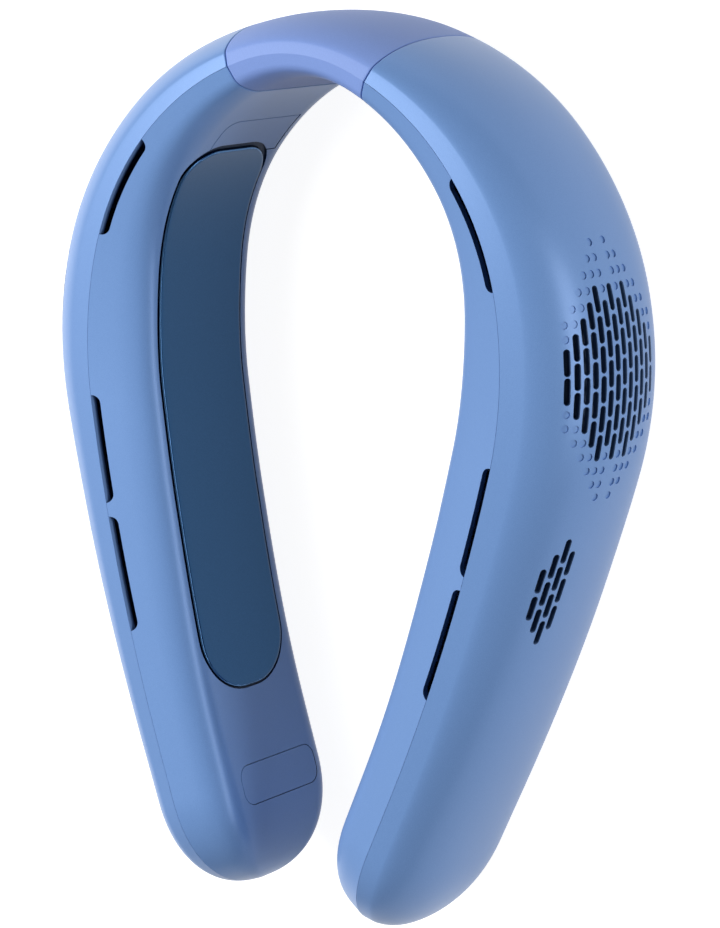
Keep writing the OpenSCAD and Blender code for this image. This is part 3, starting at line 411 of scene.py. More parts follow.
turn = add("GeometryNodeInputNamedAttribute", {"Name": "turn"}, data_type="FLOAT_VECTOR").outputs[0]
many = add("GeometryNodeInstanceOnPoints", {"Points": si["Geometry"], "Instance": formed, "Rotation": turn})
real = add("GeometryNodeRealizeInstances", {0: many.outputs[0]})
named = add("GeometryNodeSetMaterial", {0: real.outputs[0], "Material": si["Material"]})
slot_tree.links.new(named.outputs[0], s_out)


def on_skin(s, z):
    """The point of the outer skin at s and z."""
    return spot(s, float(skin_u(1, s, z)), z).reshape(3)


def surface_points(name, places, arm, lift=0.0):
    """A point cloud on the outer skin; each point's turn puts X along the arm and Z outward."""
    step, beyond = 0.4, 30.0
    points, turns = [], []
    for s, z in places:
        p = on_skin(s, z)
        a = on_skin(s + step, z) - on_skin(s - step, z)
        b = on_skin(s, z + step) - on_skin(s, z - step)
        p, a, b = (v * [arm, 1, 1] for v in (p, a, b))
        n = np.cross(a, b)
        n /= np.linalg.norm(n)
        out = spot(s, beyond, z).reshape(3) * [arm, 1, 1] - p
        if n @ out < 0:
            n = -n
        a /= np.linalg.norm(a)
        m = Matrix(np.array([a, np.cross(n, a), n]).T.tolist())
        turns.append(m.to_euler())
        points.append((p + n * lift) * MM)
    mesh = bpy.data.meshes.new(name)
    mesh.from_pydata([tuple(p) for p in points], [], [])
    attr = mesh.attributes.new("turn", "FLOAT_VECTOR", "POINT")
    attr.data.foreach_set("vector", np.array([list(t) for t in turns], np.float32).ravel())
    obj = bpy.data.objects.new(name, mesh)
    bpy.context.scene.collection.objects.link(obj)
    return obj


# Slots in each column of the main grille, and the dimples' columns at each distance from its
# middle, counted in pitches. The small grille has its own pitch, and each column steps a little.
FAN_S, GRILLE_Z, GRILLE_TILT = 114.4, 7.0, math.radians(20)
COLUMN, PITCH, SLOT, SLOT_WIDTH = 2.71, 6.65, 7.0, 1.62
MAIN_COLUMNS = [2, 3, 4, 5, 6, 5, 6, 5, 6, 5, 4, 3, 2]
DIMPLE_ROWS = {1.3: [1, 13], 1.8: [1, 2, 12, 13], 2.3: [2, 3, 11, 12], 2.8: [3, 4, 6, 8, 10, 11],
               3.3: [4, 5, 6, 8, 9, 10], 3.8: [5, 6, 8, 9], 4.3: [6, 8]}
SMALL_S, SMALL_Z, SMALL_PITCH, SMALL_COLUMN, SMALL_STEP = 170.2, 15.3, 7.94, 2.58, 0.37
SMALL_COLUMNS, SMALL_SLOT, SMALL_WIDTH = [2, 3, 4, 3], 6.9, 1.6
SLOT_DEEP, SLOT_FLARE = 6, 0.16
DIMPLE, DIMPLE_DEEP, DIMPLE_FLARE, DIMPLE_LIFT = 2.15, 2, 0.1, 0.62


def column_heights(s, centre, column, n):
    """Heights of a grille's columns, evenly spaced when seen along its tilted axis."""
    z = np.linspace(-27, 27, 1601)  # a fine scan, short of both edges
    u = skin_u(1, np.full(z.shape, s), z)
    rise, bulge = z - centre, u - skin_u(1, s, centre)
    seen = rise * math.cos(GRILLE_TILT) - bulge * math.sin(GRILLE_TILT)
    return [float(np.interp(((n - 1) / 2 - c) * column, seen, z)) for c in range(n)]


def grille_cutters(arm):
    """The cutters of both grilles and of the dimples, one object each."""
    heights = column_heights(FAN_S, GRILLE_Z, COLUMN, len(MAIN_COLUMNS))
    slots = [(FAN_S + (r - (n - 1) / 2) * PITCH, heights[c])
             for c, n in enumerate(MAIN_COLUMNS) for r in range(n)]
    dimples = [(FAN_S + k * row * PITCH, heights[c - 1])
               for row, columns in DIMPLE_ROWS.items() for c in columns for k in (-1, 1)]
    count = len(SMALL_COLUMNS)
    rows = column_heights(SMALL_S, SMALL_Z, SMALL_COLUMN, count)
    small = [(SMALL_S + (r - (n - 1) / 2) * SMALL_PITCH + ((count - 1) / 2 - c) * SMALL_STEP, rows[c])
             for c, n in enumerate(SMALL_COLUMNS) for r in range(n)]
    made = []
    for label, places, length, width, deep, flare, lift in (
            ("main", slots, SLOT, SLOT_WIDTH, SLOT_DEEP, SLOT_FLARE, 0),
            ("small", small, SMALL_SLOT, SMALL_WIDTH, SLOT_DEEP, SLOT_FLARE, 0),
            ("dimples", dimples, DIMPLE, DIMPLE, DIMPLE_DEEP, DIMPLE_FLARE, DIMPLE_LIFT)):
        source = surface_points("points_" + label, places, arm, lift)
        made.append(through_tree("cut_" + label, source, slot_tree, {
            "Length": length * MM, "Width": width * MM, "Depth": deep * MM,
            "Flare": flare * MM, "Material": paint if label == "dimples" else inside}))
    return made


# Posts for the case, blower and board screws: s, x, z, where the post starts and how deep its
# hole is. Then the places and radii of the controls, on the same straight board.
BOARD_S, BOARD_OUT = EDGE_LENGTH - 56.0, 8.8
OUTER_POSTS = [(49.0, 0, 0, 0.15, 6), (EDGE_LENGTH - 29.6, 0, 0, 0.15, 6)]
OUTER_POSTS += [(FAN_S, k * 27.5, k * 8.0, 9.5, 6) for k in (-1, 1)]
OUTER_POSTS += [(BOARD_S, k * 18.7, k * -8.0, BOARD_OUT, 4) for k in (-1, 1)]
POST_R, PILOT_R, POST_SHORT = 2.6, 0.9, 0.5
BUTTONS, BUTTON_R, BUTTON_GAP, LIGHT_X, LIGHT_HOLE_R = (-12.0, 8.0), 4.6, 0.3, -2.0, 1.1
USB_X, USB_U, USB_HALF, USB_END_R, USB_Z = 2.0, 5.95, 2.85, 1.9, (-31.0, -20.0)
PAST_SKIN = 26


def joined(name, objs):
    """One object from several that don't touch."""
    bm = bmesh.new()
    for o in objs:
        bm.from_mesh(o.data)
    mesh = bpy.data.meshes.new(name)
    bm.to_mesh(mesh)
    bm.free()
    mesh.materials.append(objs[0].data.materials[0])
    for o in objs:
        bpy.data.objects.remove(o)
    obj = bpy.data.objects.new(name, mesh)
    bpy.context.scene.collection.objects.link(obj)
    return obj


def outer_posts(arm):
    """The screw posts that stand on the outer shell's wall, and their pilot holes."""
    posts, holes = [], []
    for s, x, z, low, deep in OUTER_POSTS:
        reach = min(skin_reach(s, x + i * POST_R, z + k * POST_R) for i in (-1, 1) for k in (-1, 1))
        profile = [(POST_R, low), (POST_R, reach - POST_SHORT)]
        posts.append(turned("post", s, x, z, profile, [inside], arm, 24))
        profile = [(PILOT_R, low - 1), (PILOT_R, low + deep)]
        holes.append(turned("hole", s, x, z, profile, [inside], arm, 16))
    return joined("posts", posts), joined("holes", holes)


def control_holes(arm):
    """Two button holes, the light's hole and the charging inlet through the lower edge."""
    made = []
    for x, r, sides in [(x, BUTTON_R + BUTTON_GAP, 64) for x in BUTTONS] + [(LIGHT_X, LIGHT_HOLE_R, 32)]:
        profile = [(r, BOARD_OUT), (r, PAST_SKIN)]
        made.append(turned("hole", BOARD_S, x, 0, profile, [inside], arm, sides))
    a = np.linspace(-math.pi / 2, math.pi / 2, 13)
    x = np.concatenate([USB_HALF + USB_END_R * np.cos(a), -USB_HALF - USB_END_R * np.cos(a)])
    y = np.concatenate([USB_END_R * np.sin(a), -USB_END_R * np.sin(a)])
    verts = np.concatenate([local(BOARD_S, USB_X + x, USB_U + y, z) for z in USB_Z])
    n = len(x)
    faces = [[i, (i + 1) % n, n + (i + 1) % n, n + i] for i in range(n)]
    faces += [list(range(n)), list(range(n, 2 * n))]
    return joined("controls", made + [mesh_object("hole", verts, faces, [inside], arm)])


for label, arm in (("left", 1), ("right", -1)):
    outer = shell("outer_skin_" + label, 1, arm)
    posts, holes = outer_posts(arm)
    cut(outer, posts, operation="UNION")
    cut(outer, holes, *grille_cutters(arm))
    if arm < 0:
        cut(outer, control_holes(arm))
    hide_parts("outer_shell_" + label)
    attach(outer, "arm_" + label)

# Inner shells. The half toward the neck: rounder, with three outlet slots per arm along
# the parting line and a window for the cooling plate.
SOFT_STEPS = np.array([0.05, 0.2, 0.5, 1])


def rounded_half(s, a, b, half, radii):
    """Half height at s of an outline from a to b with rounded ends."""
    e = np.minimum(s - a, b - s)
    r = np.where(s - a < b - s, radii[0], radii[1])
    e = np.clip(e, 0, r)
    return half - r + np.sqrt(r**2 - (r - e) ** 2)


def panel_rings(a, b, mid, half, radii, proud, deep, rows=60, soft=0.0, flat_back=None):
    """Rings of a slab on the inner skin: its front above the skin, its back below it."""
    q = 1 - np.cos(np.linspace(0, math.pi / 2, 14))
    middle = np.linspace(a + radii[0], b - radii[1], rows)[1:-1]
    s = np.concatenate([a + radii[0] * q, middle, b - radii[1] * q[::-1]])
    if soft:
        s = np.unique(np.concatenate([s, a + soft * SOFT_STEPS, b - soft * SOFT_STEPS]))
    h = rounded_half(s, a, b, half, radii)
    near = 1 - np.array([0.0, 0.02, 0.05, 0.1, 0.18, 0.3, 0.5]) / half
    t = np.unique(np.concatenate([np.linspace(-1, 1, 33), near, -near]))[::-1]
    z = mid + h[:, None] * t[None, :]
    s2 = np.repeat(s[:, None], len(t), 1)
    u = skin_u(-1, s2, z)
    front, back = u + proud, u - deep
    if flat_back is not None:
        back = np.minimum(depth(-1, s2) - flat_back, front - 0.5)
    if soft:
        r = np.where(s2 - a < b - s2, radii[0], radii[1])
        ds, dz = np.minimum(s2 - a, b - s2), half - np.abs(z - mid)
        gap = np.where((ds < r) & (dz < r), r - np.hypot(r - ds, r - dz), np.minimum(ds, dz))
        gap = np.clip(gap, 0, soft)
        front = front - soft + np.sqrt(soft**2 - (soft - gap) ** 2)
    return np.concatenate([spot(s2, -front, z), spot(s2, -back, z)[:, ::-1]], 1)


# Plate, its window, the trim and the tip cover; LINE and FINE are the grooves round the last two
PLATE_A, PLATE_B, PLATE_MID, PLATE_HALF, PLATE_RADII = 56.2, 232.0, 1.0, 18.5, (12.0, 16.0)
WINDOW_A, GAP = 53.9, 0.7
TRIM_A, TRIM_TOP, TRIM_LOW, TRIM_R, TRIM_T, TRIM_LAP = 42.8, 13.1, -19.0, 4.5, 0.9, 1.8
COVER_A, COVER_B, COVER_MID, COVER_HALF, COVER_R, COVER_ROWS = 254.3, 265.7, -1.5, 17.5, 4.0, 12
LINE, FINE, PANEL_SOFT = 0.36, 0.18, 0.14


def window_cutter(arm):
    """The solid that opens the inner shell for the plate, wider than it by the gap."""
    radii = [r + GAP for r in PLATE_RADII]
    rings = panel_rings(WINDOW_A, PLATE_B + GAP, PLATE_MID, PLATE_HALF + GAP, radii, proud=3, deep=7)
    return mesh_object("window", *loft(rings), [inside], arm)


def trim_rings(grow, proud, deep, soft=0.0):
    """Rings of the trim's tongue, with one round corner and its far end past the window."""
    a = TRIM_A - grow
    arc = a + TRIM_R * (1 - np.cos(np.linspace(0, math.pi / 2, 12)))
    s = np.concatenate([arc, np.linspace(a + TRIM_R, PLATE_A + TRIM_LAP + grow, 18)[1:]])
    if soft:
        s = np.unique(np.concatenate([s, a + soft * SOFT_STEPS]))
    e = np.clip(s - a, 0, TRIM_R)
    top = TRIM_TOP + grow - TRIM_R + np.sqrt(TRIM_R**2 - (TRIM_R - e) ** 2)
    low = TRIM_LOW - grow
    near = np.array([0.001, 0.004, 0.008])
    t = np.unique(np.concatenate([np.linspace(0, 1, 33), near, [0.992, 0.996, 0.999]]))[::-1]
    z = low + (top[:, None] - low) * t[None, :]
    s2 = np.repeat(s[:, None], len(t), 1)
    u = skin_u(-1, s2, z)
    front = u + proud
    if soft:
        gap = np.clip(np.minimum(np.minimum(s2 - a, top[:, None] - z), z - low), 0, soft)
        front = front - soft + np.sqrt(soft**2 - (soft - gap) ** 2)
    return np.concatenate([spot(s2, -front, z), spot(s2, deep - u, z)[:, ::-1]], 1)


# The outlets as start and length, their width, and how far the cutter reaches past the seam and in z
OUTLETS = ((60.6, 32.0), (139.5, 31.2), (174.7, 33.4))
OUTLET_WIDTH, OUTLET_LAP, OUTLET_TOP, OUTLET_FLOOR = 2.5, 0.12, 36, 20


def outlet_cutter(name, a, length, arm):
    """A slot along the parting line, square outside and round at its inner corners."""
    width, b, rows = OUTLET_WIDTH, a + length, 28
    arc = np.linspace(0, math.pi / 2, 9)
    end = width * (1 - np.cos(arc))
    s = np.concatenate([a + end, np.linspace(a + width, b - width, rows + 2)[1:-1], b - end[::-1]])
    u = np.concatenate([-width * np.sin(arc), -width * np.ones(rows), -width * np.sin(arc[::-1])])
    u, lap = np.minimum(u, -0.02), OUTLET_LAP * np.ones_like(s)
    front = np.stack([spot(s, lap, OUTLET_TOP), spot(s, u, OUTLET_TOP)], 1)
    back = np.stack([spot(s, u, OUTLET_FLOOR), spot(s, lap, OUTLET_FLOOR)], 1)
    verts, faces = loft(np.concatenate([front, back], 1))
    return mesh_object(name, verts, faces, [inside], arm)


# Bosses of the case screws: their radius, the hole for the head and the hole for the shank
BOSS_R, HEAD_R, HEAD_DEEP, SHANK_R = 3.5, 2.35, 2.8, 1.35
for label, arm in (("left", 1), ("right", -1)):
    inner = shell("inner_skin_" + label, -1, arm)
    posts, holes = [], []
    for s in (OUTER_POSTS[0][0], OUTER_POSTS[1][0]):
        skin = -float(skin_u(-1, s, 0))
        ledge = skin + HEAD_DEEP
        profile = [(BOSS_R, skin + 0.9), (BOSS_R, -0.15)]
        posts.append(turned("post", s, 0, 0, profile, [inside], arm, 32))
        profile = [(HEAD_R, skin - 1), (HEAD_R, ledge), (SHANK_R, ledge), (SHANK_R, 1)]
        holes.append(turned("hole", s, 0, 0, profile, [inside], arm, 32))
    cut(inner, joined("posts", posts), operation="UNION")
    cutters = [window_cutter(arm)]
    cutters.append(mesh_object("recess", *loft(trim_rings(LINE, 1, TRIM_T + LINE)), [inside], arm))
    rings = panel_rings(COVER_A - FINE, COVER_B + FINE, COVER_MID, COVER_HALF + FINE,
                        [COVER_R + FINE] * 2, 1, TRIM_T + FINE, COVER_ROWS)
    cutters.append(mesh_object("recess", *loft(rings), [inside], arm))
    for a, length in OUTLETS:
        cutters.append(outlet_cutter("outlet", a, length, arm))
    cut(inner, *cutters, joined("holes", holes))
    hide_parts("inner_shell_" + label)
    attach(inner, "arm_" + label)

# Bridge trims. A flush tongue of the same painted plastic above each plate, clipped over
# the upper case screw and outlined by a fine seam.
for label, arm in (("left", 1), ("right", -1)):
    trim = mesh_object("trim_" + label, *loft(trim_rings(0, 0, TRIM_T, PANEL_SOFT)), [paint], arm)
    cut(trim, window_cutter(arm))
    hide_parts("bridge_trim_" + label)
    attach(trim, "arm_" + label)

# Tip covers. A flush blank strip near each tip, glued in over the lower case screw, with a
# finer groove round it than the trim has.
for label, arm in (("left", 1), ("right", -1)):
    rings = panel_rings(COVER_A, COVER_B, COVER_MID, COVER_HALF, [COVER_R] * 2, 0, TRIM_T,
                        COVER_ROWS, PANEL_SOFT)
    cover = mesh_object("tip_strip_" + label, *loft(rings), [paint], arm)
    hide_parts("tip_cover_" + label)
    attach(cover, "arm_" + label)

# Cooling plates. Anodised aluminium pressed to the curve of the inner shell, standing a
# little proud on the thermoelectric modules behind it. Its rounded rim has a lighter blue material, a
# painted highlight where the rim catches the light.
metal, mt, mp = shade("plate_metal", (0.018, 0.055, 0.125), 0.2, 1.0)
grain(mt, mp, 2600, ((0.016, 0.051, 0.117), (0.020, 0.060, 0.135)),
      rough=(0.17, 0.24), bump=0.05, distance=0.00001)
# The rim's lighter blue is a painted highlight, where the rounded rim catches the light.
light, mt, mp = shade("plate_rim_highlight", (0.06, 0.16, 0.34), 0.3, 0.7)
grain(mt, mp, 2600, ((0.054, 0.148, 0.32), (0.066, 0.172, 0.36)),
      rough=(0.26, 0.34), bump=0.05, distance=0.00001)
PLATE_PROUD, PLATE_SOFT, PLATE_BACK = 0.4, 0.5, 1.9


def paint_rim_highlight(mesh, arm):
    """Gives the painted highlight, the second material, to the faces that lean, by how far they face the
    neck.
    """
    n = len(mesh.polygons)
    normals, middles = np.zeros(3 * n), np.zeros(3 * n)
    mesh.polygons.foreach_get("normal", normals)
    mesh.polygons.foreach_get("center", middles)
    normals, middles = normals.reshape(-1, 3), middles.reshape(-1, 3)
    x, y, h = edge(np.linspace(PLATE_A, PLATE_B, 400))
    away_x = middles[:, :1] * arm * 1000 - x
    away_y = middles[:, 1:2] * 1000 - SHIFT_Y - y
    near = np.argmin(np.hypot(away_x, away_y), 1)
    facing = -(normals[:, 0] * arm * np.sin(h[near]) + normals[:, 1] * np.cos(h[near]))
    leans = (facing > 0.25) & (facing < 0.93)
    mesh.polygons.foreach_set("material_index", leans.astype(np.int32))


for label, arm in (("left", 1), ("right", -1)):
    rings = panel_rings(PLATE_A, PLATE_B, PLATE_MID, PLATE_HALF, PLATE_RADII, PLATE_PROUD, 0,
                        soft=PLATE_SOFT, flat_back=PLATE_BACK)
    plate = mesh_object("plate_" + label, *loft(rings), [metal, light], arm)
    paint_rim_highlight(plate.data, arm)
    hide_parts("cooling_plate_" + label)
    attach(plate, "arm_" + label)

# Seals. A band of dark rubber pressed into the groove between each plate and its window,
# a little below the skin.
rubber, rt, rp = shade("black_rubber", (0.012, 0.03, 0.07), 0.6, Specular_IOR_Level=0.3)
grain(rt, rp, 1500, ((0.010, 0.025, 0.06), (0.015, 0.036, 0.082)), rough=(0.55, 0.7), bump=0.1)


def outline(a, b, half, radii):
    """The plate's outline as points in s and z, with as many points for any size."""
    turn = 1 - np.cos(np.linspace(0, math.pi / 2, 16))
    middle = np.linspace(a + radii[0], b - radii[1], 70)[1:-1]
    s = np.concatenate([a + radii[0] * turn, middle, b - radii[1] * turn[::-1]])
    h = rounded_half(s, a, b, half, radii)
    return np.concatenate([s, s[::-1]]), PLATE_MID + np.concatenate([h, -h[::-1]])


SEAL_FIT, SEAL_TOP, SEAL_FOOT = 0.1, 0.6, 1.8
for label, arm in (("left", 1), ("right", -1)):
    near_s, near_z = outline(PLATE_A - SEAL_FIT, PLATE_B + SEAL_FIT, PLATE_HALF + SEAL_FIT,
                             [r + SEAL_FIT for r in PLATE_RADII])
    far_s, far_z = outline(WINDOW_A + SEAL_FIT, PLATE_B + GAP - SEAL_FIT, PLATE_HALF + GAP - SEAL_FIT,
                           [r + GAP - SEAL_FIT for r in PLATE_RADII])
    near_u, far_u = skin_u(-1, near_s, near_z), skin_u(-1, far_s, far_z)
    ring4 = [spot(near_s, SEAL_TOP - near_u, near_z), spot(far_s, SEAL_TOP - far_u, far_z),
             spot(far_s, SEAL_FOOT - far_u, far_z), spot(near_s, SEAL_FOOT - near_u, near_z)]
    n = len(near_s)
    faces = []
    for k, next_k in ((0, 1), (1, 2), (2, 3), (3, 0)):
        for i in range(n):
            j = (i + 1) % n
            faces.append([k * n + i, k * n + j, next_k * n + j, next_k * n + i])
    seal = mesh_object("seal_" + label, np.concatenate(ring4), faces, [rubber], arm)
    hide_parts("plate_seal_" + label)
    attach(seal, "arm_" + label)

# Neck sleeve. One tube of soft-touch silicone behind the neck, a little purpler and more
# matt than the arms. It is made as two halves that meet at the nape, one for each arm.
soft_blue, st, sp = shade("soft_silicone", (0.21, 0.325, 0.69), 0.52, Specular_IOR_Level=0.3)
grain(st, sp, 3800, ((0.2, 0.31, 0.67), (0.225, 0.34, 0.72)),
      rough=(0.46, 0.58), bump=0.15, distance=0.00003)
SLEEVE_END, SLEEVE_WALL = 23.35, 2.4
start, end = spot(5.0, 1.0, 0) * MM, spot(21.0, 1.0, 0) * MM  # where the bend begins and ends


def loop(s, inset):
    """The whole section across the stations s, as one closed line."""
    out = ring(1, s, inset, inset, gap=0.0)
    back = ring(-1, s, inset, inset, gap=0.0)[:, ::-1]
    return np.concatenate([out, back[:, 1:-1]], 1)


for label, arm in (("left", 1), ("right", -1)):
    rows = np.linspace(0.8, SLEEVE_END - 0.8, 30)
    s = np.concatenate([[0, 0.05], rows, SLEEVE_END - np.array(SEAM_STEPS[3::-1])])
    soft = np.zeros(len(s))
    soft[-4:] = SEAM_SOFT[::-1]
    outside, bore = loop(s, soft), loop(s, SLEEVE_WALL * np.ones(len(s)))
    n, m = outside.shape[:2]
    idx = np.arange(2 * n * m).reshape(2, n, m)
    faces = []
    for k in range(2):
        a, b = idx[k][:-1], idx[k][1:]
        faces.append(np.stack([a, np.roll(a, -1, 1), np.roll(b, -1, 1), b], -1).reshape(-1, 4))
    for row in (0, -1):
        a, b = idx[0][row], idx[1][row]
        faces.append(np.stack([a, np.roll(a, -1), np.roll(b, -1), b], -1))
    sleeve = mesh_object(
        "sleeve_" + label, np.stack([outside, bore]), np.vstack(faces), [soft_blue], arm)
    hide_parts("neck_sleeve")
    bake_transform(sleeve)

# Spine, brackets, pins and washers. A stiff plastic spine runs inside the sleeve, and each
# arm hangs on it by a steel bracket and pin between bronze friction washers.


def cad(names, material):
    """Gives CAD nodes their material; a name ending in _ stands for both arms."""
    for name in names:
        for n in ([name + "left", name + "right"] if name.endswith("_") else [name]):
            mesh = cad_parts[n].data
            mesh.materials.clear()
            mesh.materials.append(material)


dark, dt, dp = shade("dark_plastic", (0.03, 0.033, 0.04), 0.5)
grain(dt, dp, 2400, ((0.027, 0.03, 0.036), (0.036, 0.039, 0.046)), rough=(0.42, 0.58), bump=0.15)
steel, t_, p_ = shade("steel", (0.55, 0.56, 0.58), 0.3, 1.0)
grain(t_, p_, 900, ((0.50, 0.51, 0.53), (0.62, 0.63, 0.65)),
      rough=(0.24, 0.4), bump=0.08, distance=0.00002, stretch=(1, 1, 14))
bronze, t_, p_ = shade("bronze", (0.45, 0.30, 0.15), 0.45, 1.0)
grain(t_, p_, 3500, ((0.36, 0.24, 0.12), (0.52, 0.35, 0.18)),
      rough=(0.35, 0.6), bump=0.3, distance=0.00003)
cad(["neck_spine"], dark)
cad(["hinge_bracket_", "hinge_pin_"], steel)
cad(["hinge_washers_"], bronze)

# Flat cable. A ribbon of polyimide film with copper tracks, which crosses the neck inside
# the sleeve and bends with the arms, so it is made as two halves like the sleeve.
def pattern(t, p, texture, output, low, high):
    """Colours a shader by one texture in object coordinates, from low to high."""
    co = t.nodes.new("ShaderNodeTexCoord")
    ramp = t.nodes.new("ShaderNodeValToRGB")
    for stop, colour in zip(ramp.color_ramp.elements, (low, high)):
        stop.color = (*colour, 1)
    t.links.new(co.outputs["Object"], texture.inputs["Vector"])
    t.links.new(texture.outputs[output], ramp.inputs["Fac"])
    t.links.new(ramp.outputs["Color"], p.inputs["Base Color"])


film, ft, fp = shade("cable_film", (0.45, 0.17, 0.03), 0.25, Coat_Weight=0.5)
stripes = ft.nodes.new("ShaderNodeTexWave")
stripes.bands_direction = "Z"
stripes.inputs["Scale"].default_value = 150
pattern(ft, fp, stripes, "Fac", (0.30, 0.10, 0.02), (0.55, 0.24, 0.06))
CABLE_END, CABLE_Z, CABLE_HALF_T, CABLE_HALF_H = 40, 20.5, 0.3, 3.0
for label, arm in (("left", 1), ("right", -1)):
    s = np.linspace(0, CABLE_END, 33)
    middle = (depth(1, s) - depth(-1, s)) / 2
    rings = np.stack([spot(s, middle + CABLE_HALF_T * i, CABLE_Z + CABLE_HALF_H * k)
                      for i, k in ((1, 1), (1, -1), (-1, -1), (-1, 1))], 1)
    cable = mesh_object("cable_" + label, *loft(rings), [film], arm)
    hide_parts("neck_cable")
    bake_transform(cable)

# Dust screens. Fine dark mesh behind each grille, held flat against the inside of the wall,
# with threads that catch a little blue.
net, nt, mesh_p = shade("screen_mesh", (0.012, 0.016, 0.024), 0.6)
weave = nt.nodes.new("ShaderNodeTexVoronoi")
weave.distance = "CHEBYCHEV"
weave.inputs["Scale"].default_value, weave.inputs["Randomness"].default_value = 1800, 0.1
pattern(nt, mesh_p, weave, "Distance", (0.05, 0.1, 0.2), (0.014, 0.03, 0.065))
cad(["intake_screen_"], net)

# Blowers. Each is a black housing and cover round a pale impeller, which a brushless motor
# with a steel cup and copper windings turns on a shaft in a sintered bearing.
pale, t_, p_ = shade("light_plastic", (0.42, 0.45, 0.49), 0.4)
grain(t_, p_, 1800, ((0.39, 0.42, 0.46), (0.46, 0.49, 0.53)), rough=(0.34, 0.46), bump=0.1)
copper, ct, cp = shade("copper", (0.45, 0.18, 0.07), 0.3, 0.9, Coat_Weight=0.6)
coil = ct.nodes.new("ShaderNodeTexWave")
coil.bands_direction = "Z"
coil.inputs["Scale"].default_value, coil.inputs["Distortion"].default_value = 700, 1.5
pattern(ct, cp, coil, "Fac", (0.22, 0.07, 0.02), (0.52, 0.22, 0.09))
cad(["blower_housing_", "blower_cover_"], dark)
cad(["blower_screws_", "motor_rotor_", "motor_shaft_"], steel)
cad(["motor_stator_"], copper)
cad(["motor_bearing_"], bronze)
cad(["impeller_"], pale)

# Heat sinks and thermoelectric modules. Extruded aluminium fins glint inside the outlets;
# the white ceramic modules lie between them and the back of each plate.
fins, t_, p_ = shade("bare_aluminium", (0.70, 0.71, 0.73), 0.28, 1.0)
grain(t_, p_, 700, ((0.62, 0.63, 0.65), (0.78, 0.79, 0.81)),
      rough=(0.2, 0.38), bump=0.06, distance=0.00002, stretch=(1, 1, 8))
ceramic, t_, p_ = shade("ceramic", (0.80, 0.80, 0.77), 0.3)
grain(t_, p_, 1200, ((0.76, 0.76, 0.73), (0.84, 0.84, 0.81)), rough=(0.26, 0.36), bump=0.08)
cad(["heat_sink_"], fins)
cad(["peltier_modules_"], ceramic)

# Battery cells and circuit boards. Two foil pouch cells lie in each arm below the plate, and
# a green board stands on posts beside them, held by two screws.
foil, t_, p_ = shade("cell_wrap", (0.48, 0.50, 0.52), 0.32, 0.8)
grain(t_, p_, 260, ((0.44, 0.46, 0.48), (0.54, 0.56, 0.58)),
      rough=(0.24, 0.42), bump=0.3, distance=0.0001)
board, bt, bp = shade("board", (0.01, 0.09, 0.045), 0.35)
lines = bt.nodes.new("ShaderNodeTexBrick")
lines.inputs["Scale"].default_value = 260
lines.inputs["Color1"].default_value = (0.008, 0.085, 0.04, 1)
lines.inputs["Color2"].default_value = (0.012, 0.11, 0.055, 1)
lines.inputs["Mortar"].default_value = (0.02, 0.16, 0.08, 1)
lines.inputs["Mortar Size"].default_value = 0.03
where = bt.nodes.new("ShaderNodeTexCoord")
bt.links.new(where.outputs["Object"], lines.inputs["Vector"])
bt.links.new(lines.outputs["Color"], bp.inputs["Base Color"])
cad(["battery_cells_"], foil)
cad(["circuit_board_"], board)
cad(["board_screws_", "case_screws_"], steel)

# Controls on the right arm. Two painted push buttons stand half a millimetre proud over
# their switches, with a small clear light guide between them and a charging socket below.
lens, t_, p_ = shade("lens", (0.85, 0.90, 0.95), 0.25, Transmission_Weight=0.5, IOR=1.49)
grain(t_, p_, 900, ((0.82, 0.87, 0.92), (0.90, 0.94, 0.98)), rough=(0.2, 0.3))
cad(["tact_switches"], dark)
cad(["usb_socket"], steel)
# The stem stands over the switch, its plunger, the travel and a small gap
SWITCH_H, PLUNGER_H, TRAVEL, STEM_GAP = 1.8, 0.4, 0.35, 0.05
FOOT = BOARD_OUT + SWITCH_H + PLUNGER_H + TRAVEL + STEM_GAP
CAP_PROUD, CAP_DEEP, CAP_ROUND, STEM_R, FLANGE_R, FLANGE_T = 0.45, 3.7, 0.5, 1.5, 5.7, 1
DISH_R, DISH_DEEP = BUTTON_R - CAP_ROUND, 0.22
for name, x in (("power", BUTTONS[0]), ("mode", BUTTONS[1])):
    top = skin_reach(BOARD_S, x, 0) + CAP_PROUD
    base = top - CAP_DEEP
    rim = [(BUTTON_R - CAP_ROUND + CAP_ROUND * math.cos(a), top - CAP_ROUND + CAP_ROUND * math.sin(a))
           for a in np.linspace(0, math.pi / 2, 7)]
    dish = [(r, top - DISH_DEEP * (1 - (r / DISH_R) ** 2)) for r in (3.4, 2.6, 1.8, 1.0, 0.3)]
    stem = [(STEM_R, FOOT), (STEM_R, base)]
    flange = [(FLANGE_R, base), (FLANGE_R, base + FLANGE_T), (BUTTON_R, base + FLANGE_T)]
    button = turned(name + "_cap", BOARD_S, x, 0, stem + flange + rim + dish, [paint], -1, 72)
    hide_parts(name + "_button")
    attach(button, name + "_button")
top = skin_reach(BOARD_S, LIGHT_X, 0)
profile = [(0.8, BOARD_OUT), (0.8, top - 0.25), (0.7, top - 0.08), (0.4, top)]
guide = turned("light_guide", BOARD_S, LIGHT_X, 0, profile, [lens], -1, 32)
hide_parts("indicator_light")
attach(guide, "arm_right")

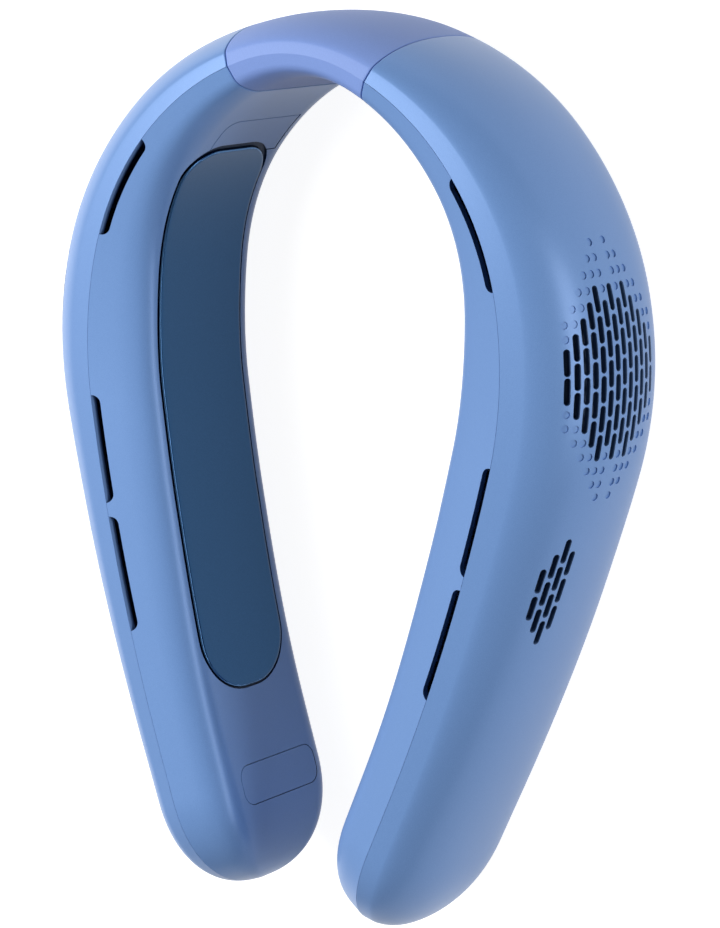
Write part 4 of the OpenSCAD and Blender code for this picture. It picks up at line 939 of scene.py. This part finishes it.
# Floor, light and camera. A wide pale floor fills the background, two soft lamps and a dim
# world light the ring, and the camera's place was fitted to the photograph's outline.
FLOOR_HALF, FLOOR_Z = 40, -0.0002
floor_mesh = bpy.data.meshes.new("floor")
corners = [(x * FLOOR_HALF, y * FLOOR_HALF, FLOOR_Z) for x, y in ((-1, -1), (1, -1), (1, 1), (-1, 1))]
floor_mesh.from_pydata(corners, [], [(0, 1, 2, 3)])
floor = bpy.data.objects.new("floor", floor_mesh)
bpy.context.scene.collection.objects.link(floor)
white = bpy.data.materials.new("floor_white")
white.use_nodes = True
wt = white.node_tree
wt.nodes.clear()
w_out = wt.nodes.new("ShaderNodeOutputMaterial")
diffuse = wt.nodes.new("ShaderNodeBsdfDiffuse")
diffuse.inputs["Color"].default_value = (0.42, 0.42, 0.42, 1)
glow = wt.nodes.new("ShaderNodeEmission")
glow.inputs["Strength"].default_value = 0.92
seen = wt.nodes.new("ShaderNodeAddShader")
pick = wt.nodes.new("ShaderNodeMixShader")


def shown(tree):
    """One for camera, glossy and transmission rays, so that reflections show the floor too."""
    ray = tree.nodes.new("ShaderNodeLightPath")
    last = ray.outputs["Is Camera Ray"]
    for kind in ("Is Glossy Ray", "Is Transmission Ray"):
        n = tree.nodes.new("ShaderNodeMath")
        n.operation = "MAXIMUM"
        tree.links.new(last, n.inputs[0])
        tree.links.new(ray.outputs[kind], n.inputs[1])
        last = n.outputs[0]
    return last


wt.links.new(diffuse.outputs[0], seen.inputs[0])
wt.links.new(glow.outputs[0], seen.inputs[1])
wt.links.new(shown(wt), pick.inputs[0])
wt.links.new(diffuse.outputs[0], pick.inputs[1])
wt.links.new(seen.outputs[0], pick.inputs[2])
wt.links.new(pick.outputs[0], w_out.inputs[0])
floor_mesh.materials.append(white)

world = bpy.data.worlds.new("studio")
bpy.context.scene.world = world
world.use_nodes = True
world.node_tree.nodes["Background"].inputs["Color"].default_value = (1, 1, 1, 1)
world.node_tree.nodes["Background"].inputs["Strength"].default_value = 0.12

CENTRE = Vector((0, -0.000206, RISE * MM))
DISTANCE = 0.9345
az, el, roll = math.radians(69.05), math.radians(53.0), math.radians(2.195)
toward = Vector((math.cos(el) * math.sin(az), math.cos(el) * math.cos(az), math.sin(el)))
right = Vector((0, 1, 0)).cross(toward).normalized()
up = toward.cross(right)
right2 = right * math.cos(roll) + up * math.sin(roll)
up2 = up * math.cos(roll) - right * math.sin(roll)


def lamp(name, place, size, power):
    """A soft rectangular lamp at a place in metres, aimed at the middle of the ring."""
    data = bpy.data.lights.new(name, "AREA")
    data.shape, data.size, data.size_y = "RECTANGLE", size[0], size[1]
    data.energy = power
    obj = bpy.data.objects.new(name, data)
    bpy.context.scene.collection.objects.link(obj)
    obj.location = place
    obj.rotation_mode = "QUATERNION"
    obj.rotation_quaternion = (CENTRE - obj.location).to_track_quat("-Z", "Y")


lamp("key", (-0.62, 0.22, 1.0), (0.7, 1.0), 17.5)
lamp("fill", (1.2, 0.15, 0.27), (0.9, 0.4), 8)

cam = bpy.data.cameras.new("camera")
camera = bpy.data.objects.new("camera", cam)
bpy.context.scene.collection.objects.link(camera)
cam.lens, cam.sensor_width = 128.75, 36.0
cam.shift_x, cam.shift_y = 0.01797, 0.0038
cam.clip_start, cam.clip_end = 0.05, 120
camera.matrix_world = Matrix((
    (right2.x, up2.x, toward.x, CENTRE.x + toward.x * DISTANCE),
    (right2.y, up2.y, toward.y, CENTRE.y + toward.y * DISTANCE),
    (right2.z, up2.z, toward.z, CENTRE.z + toward.z * DISTANCE), (0, 0, 0, 1)))
bpy.context.scene.camera = camera
bpy.context.scene.view_settings.view_transform = "Standard"
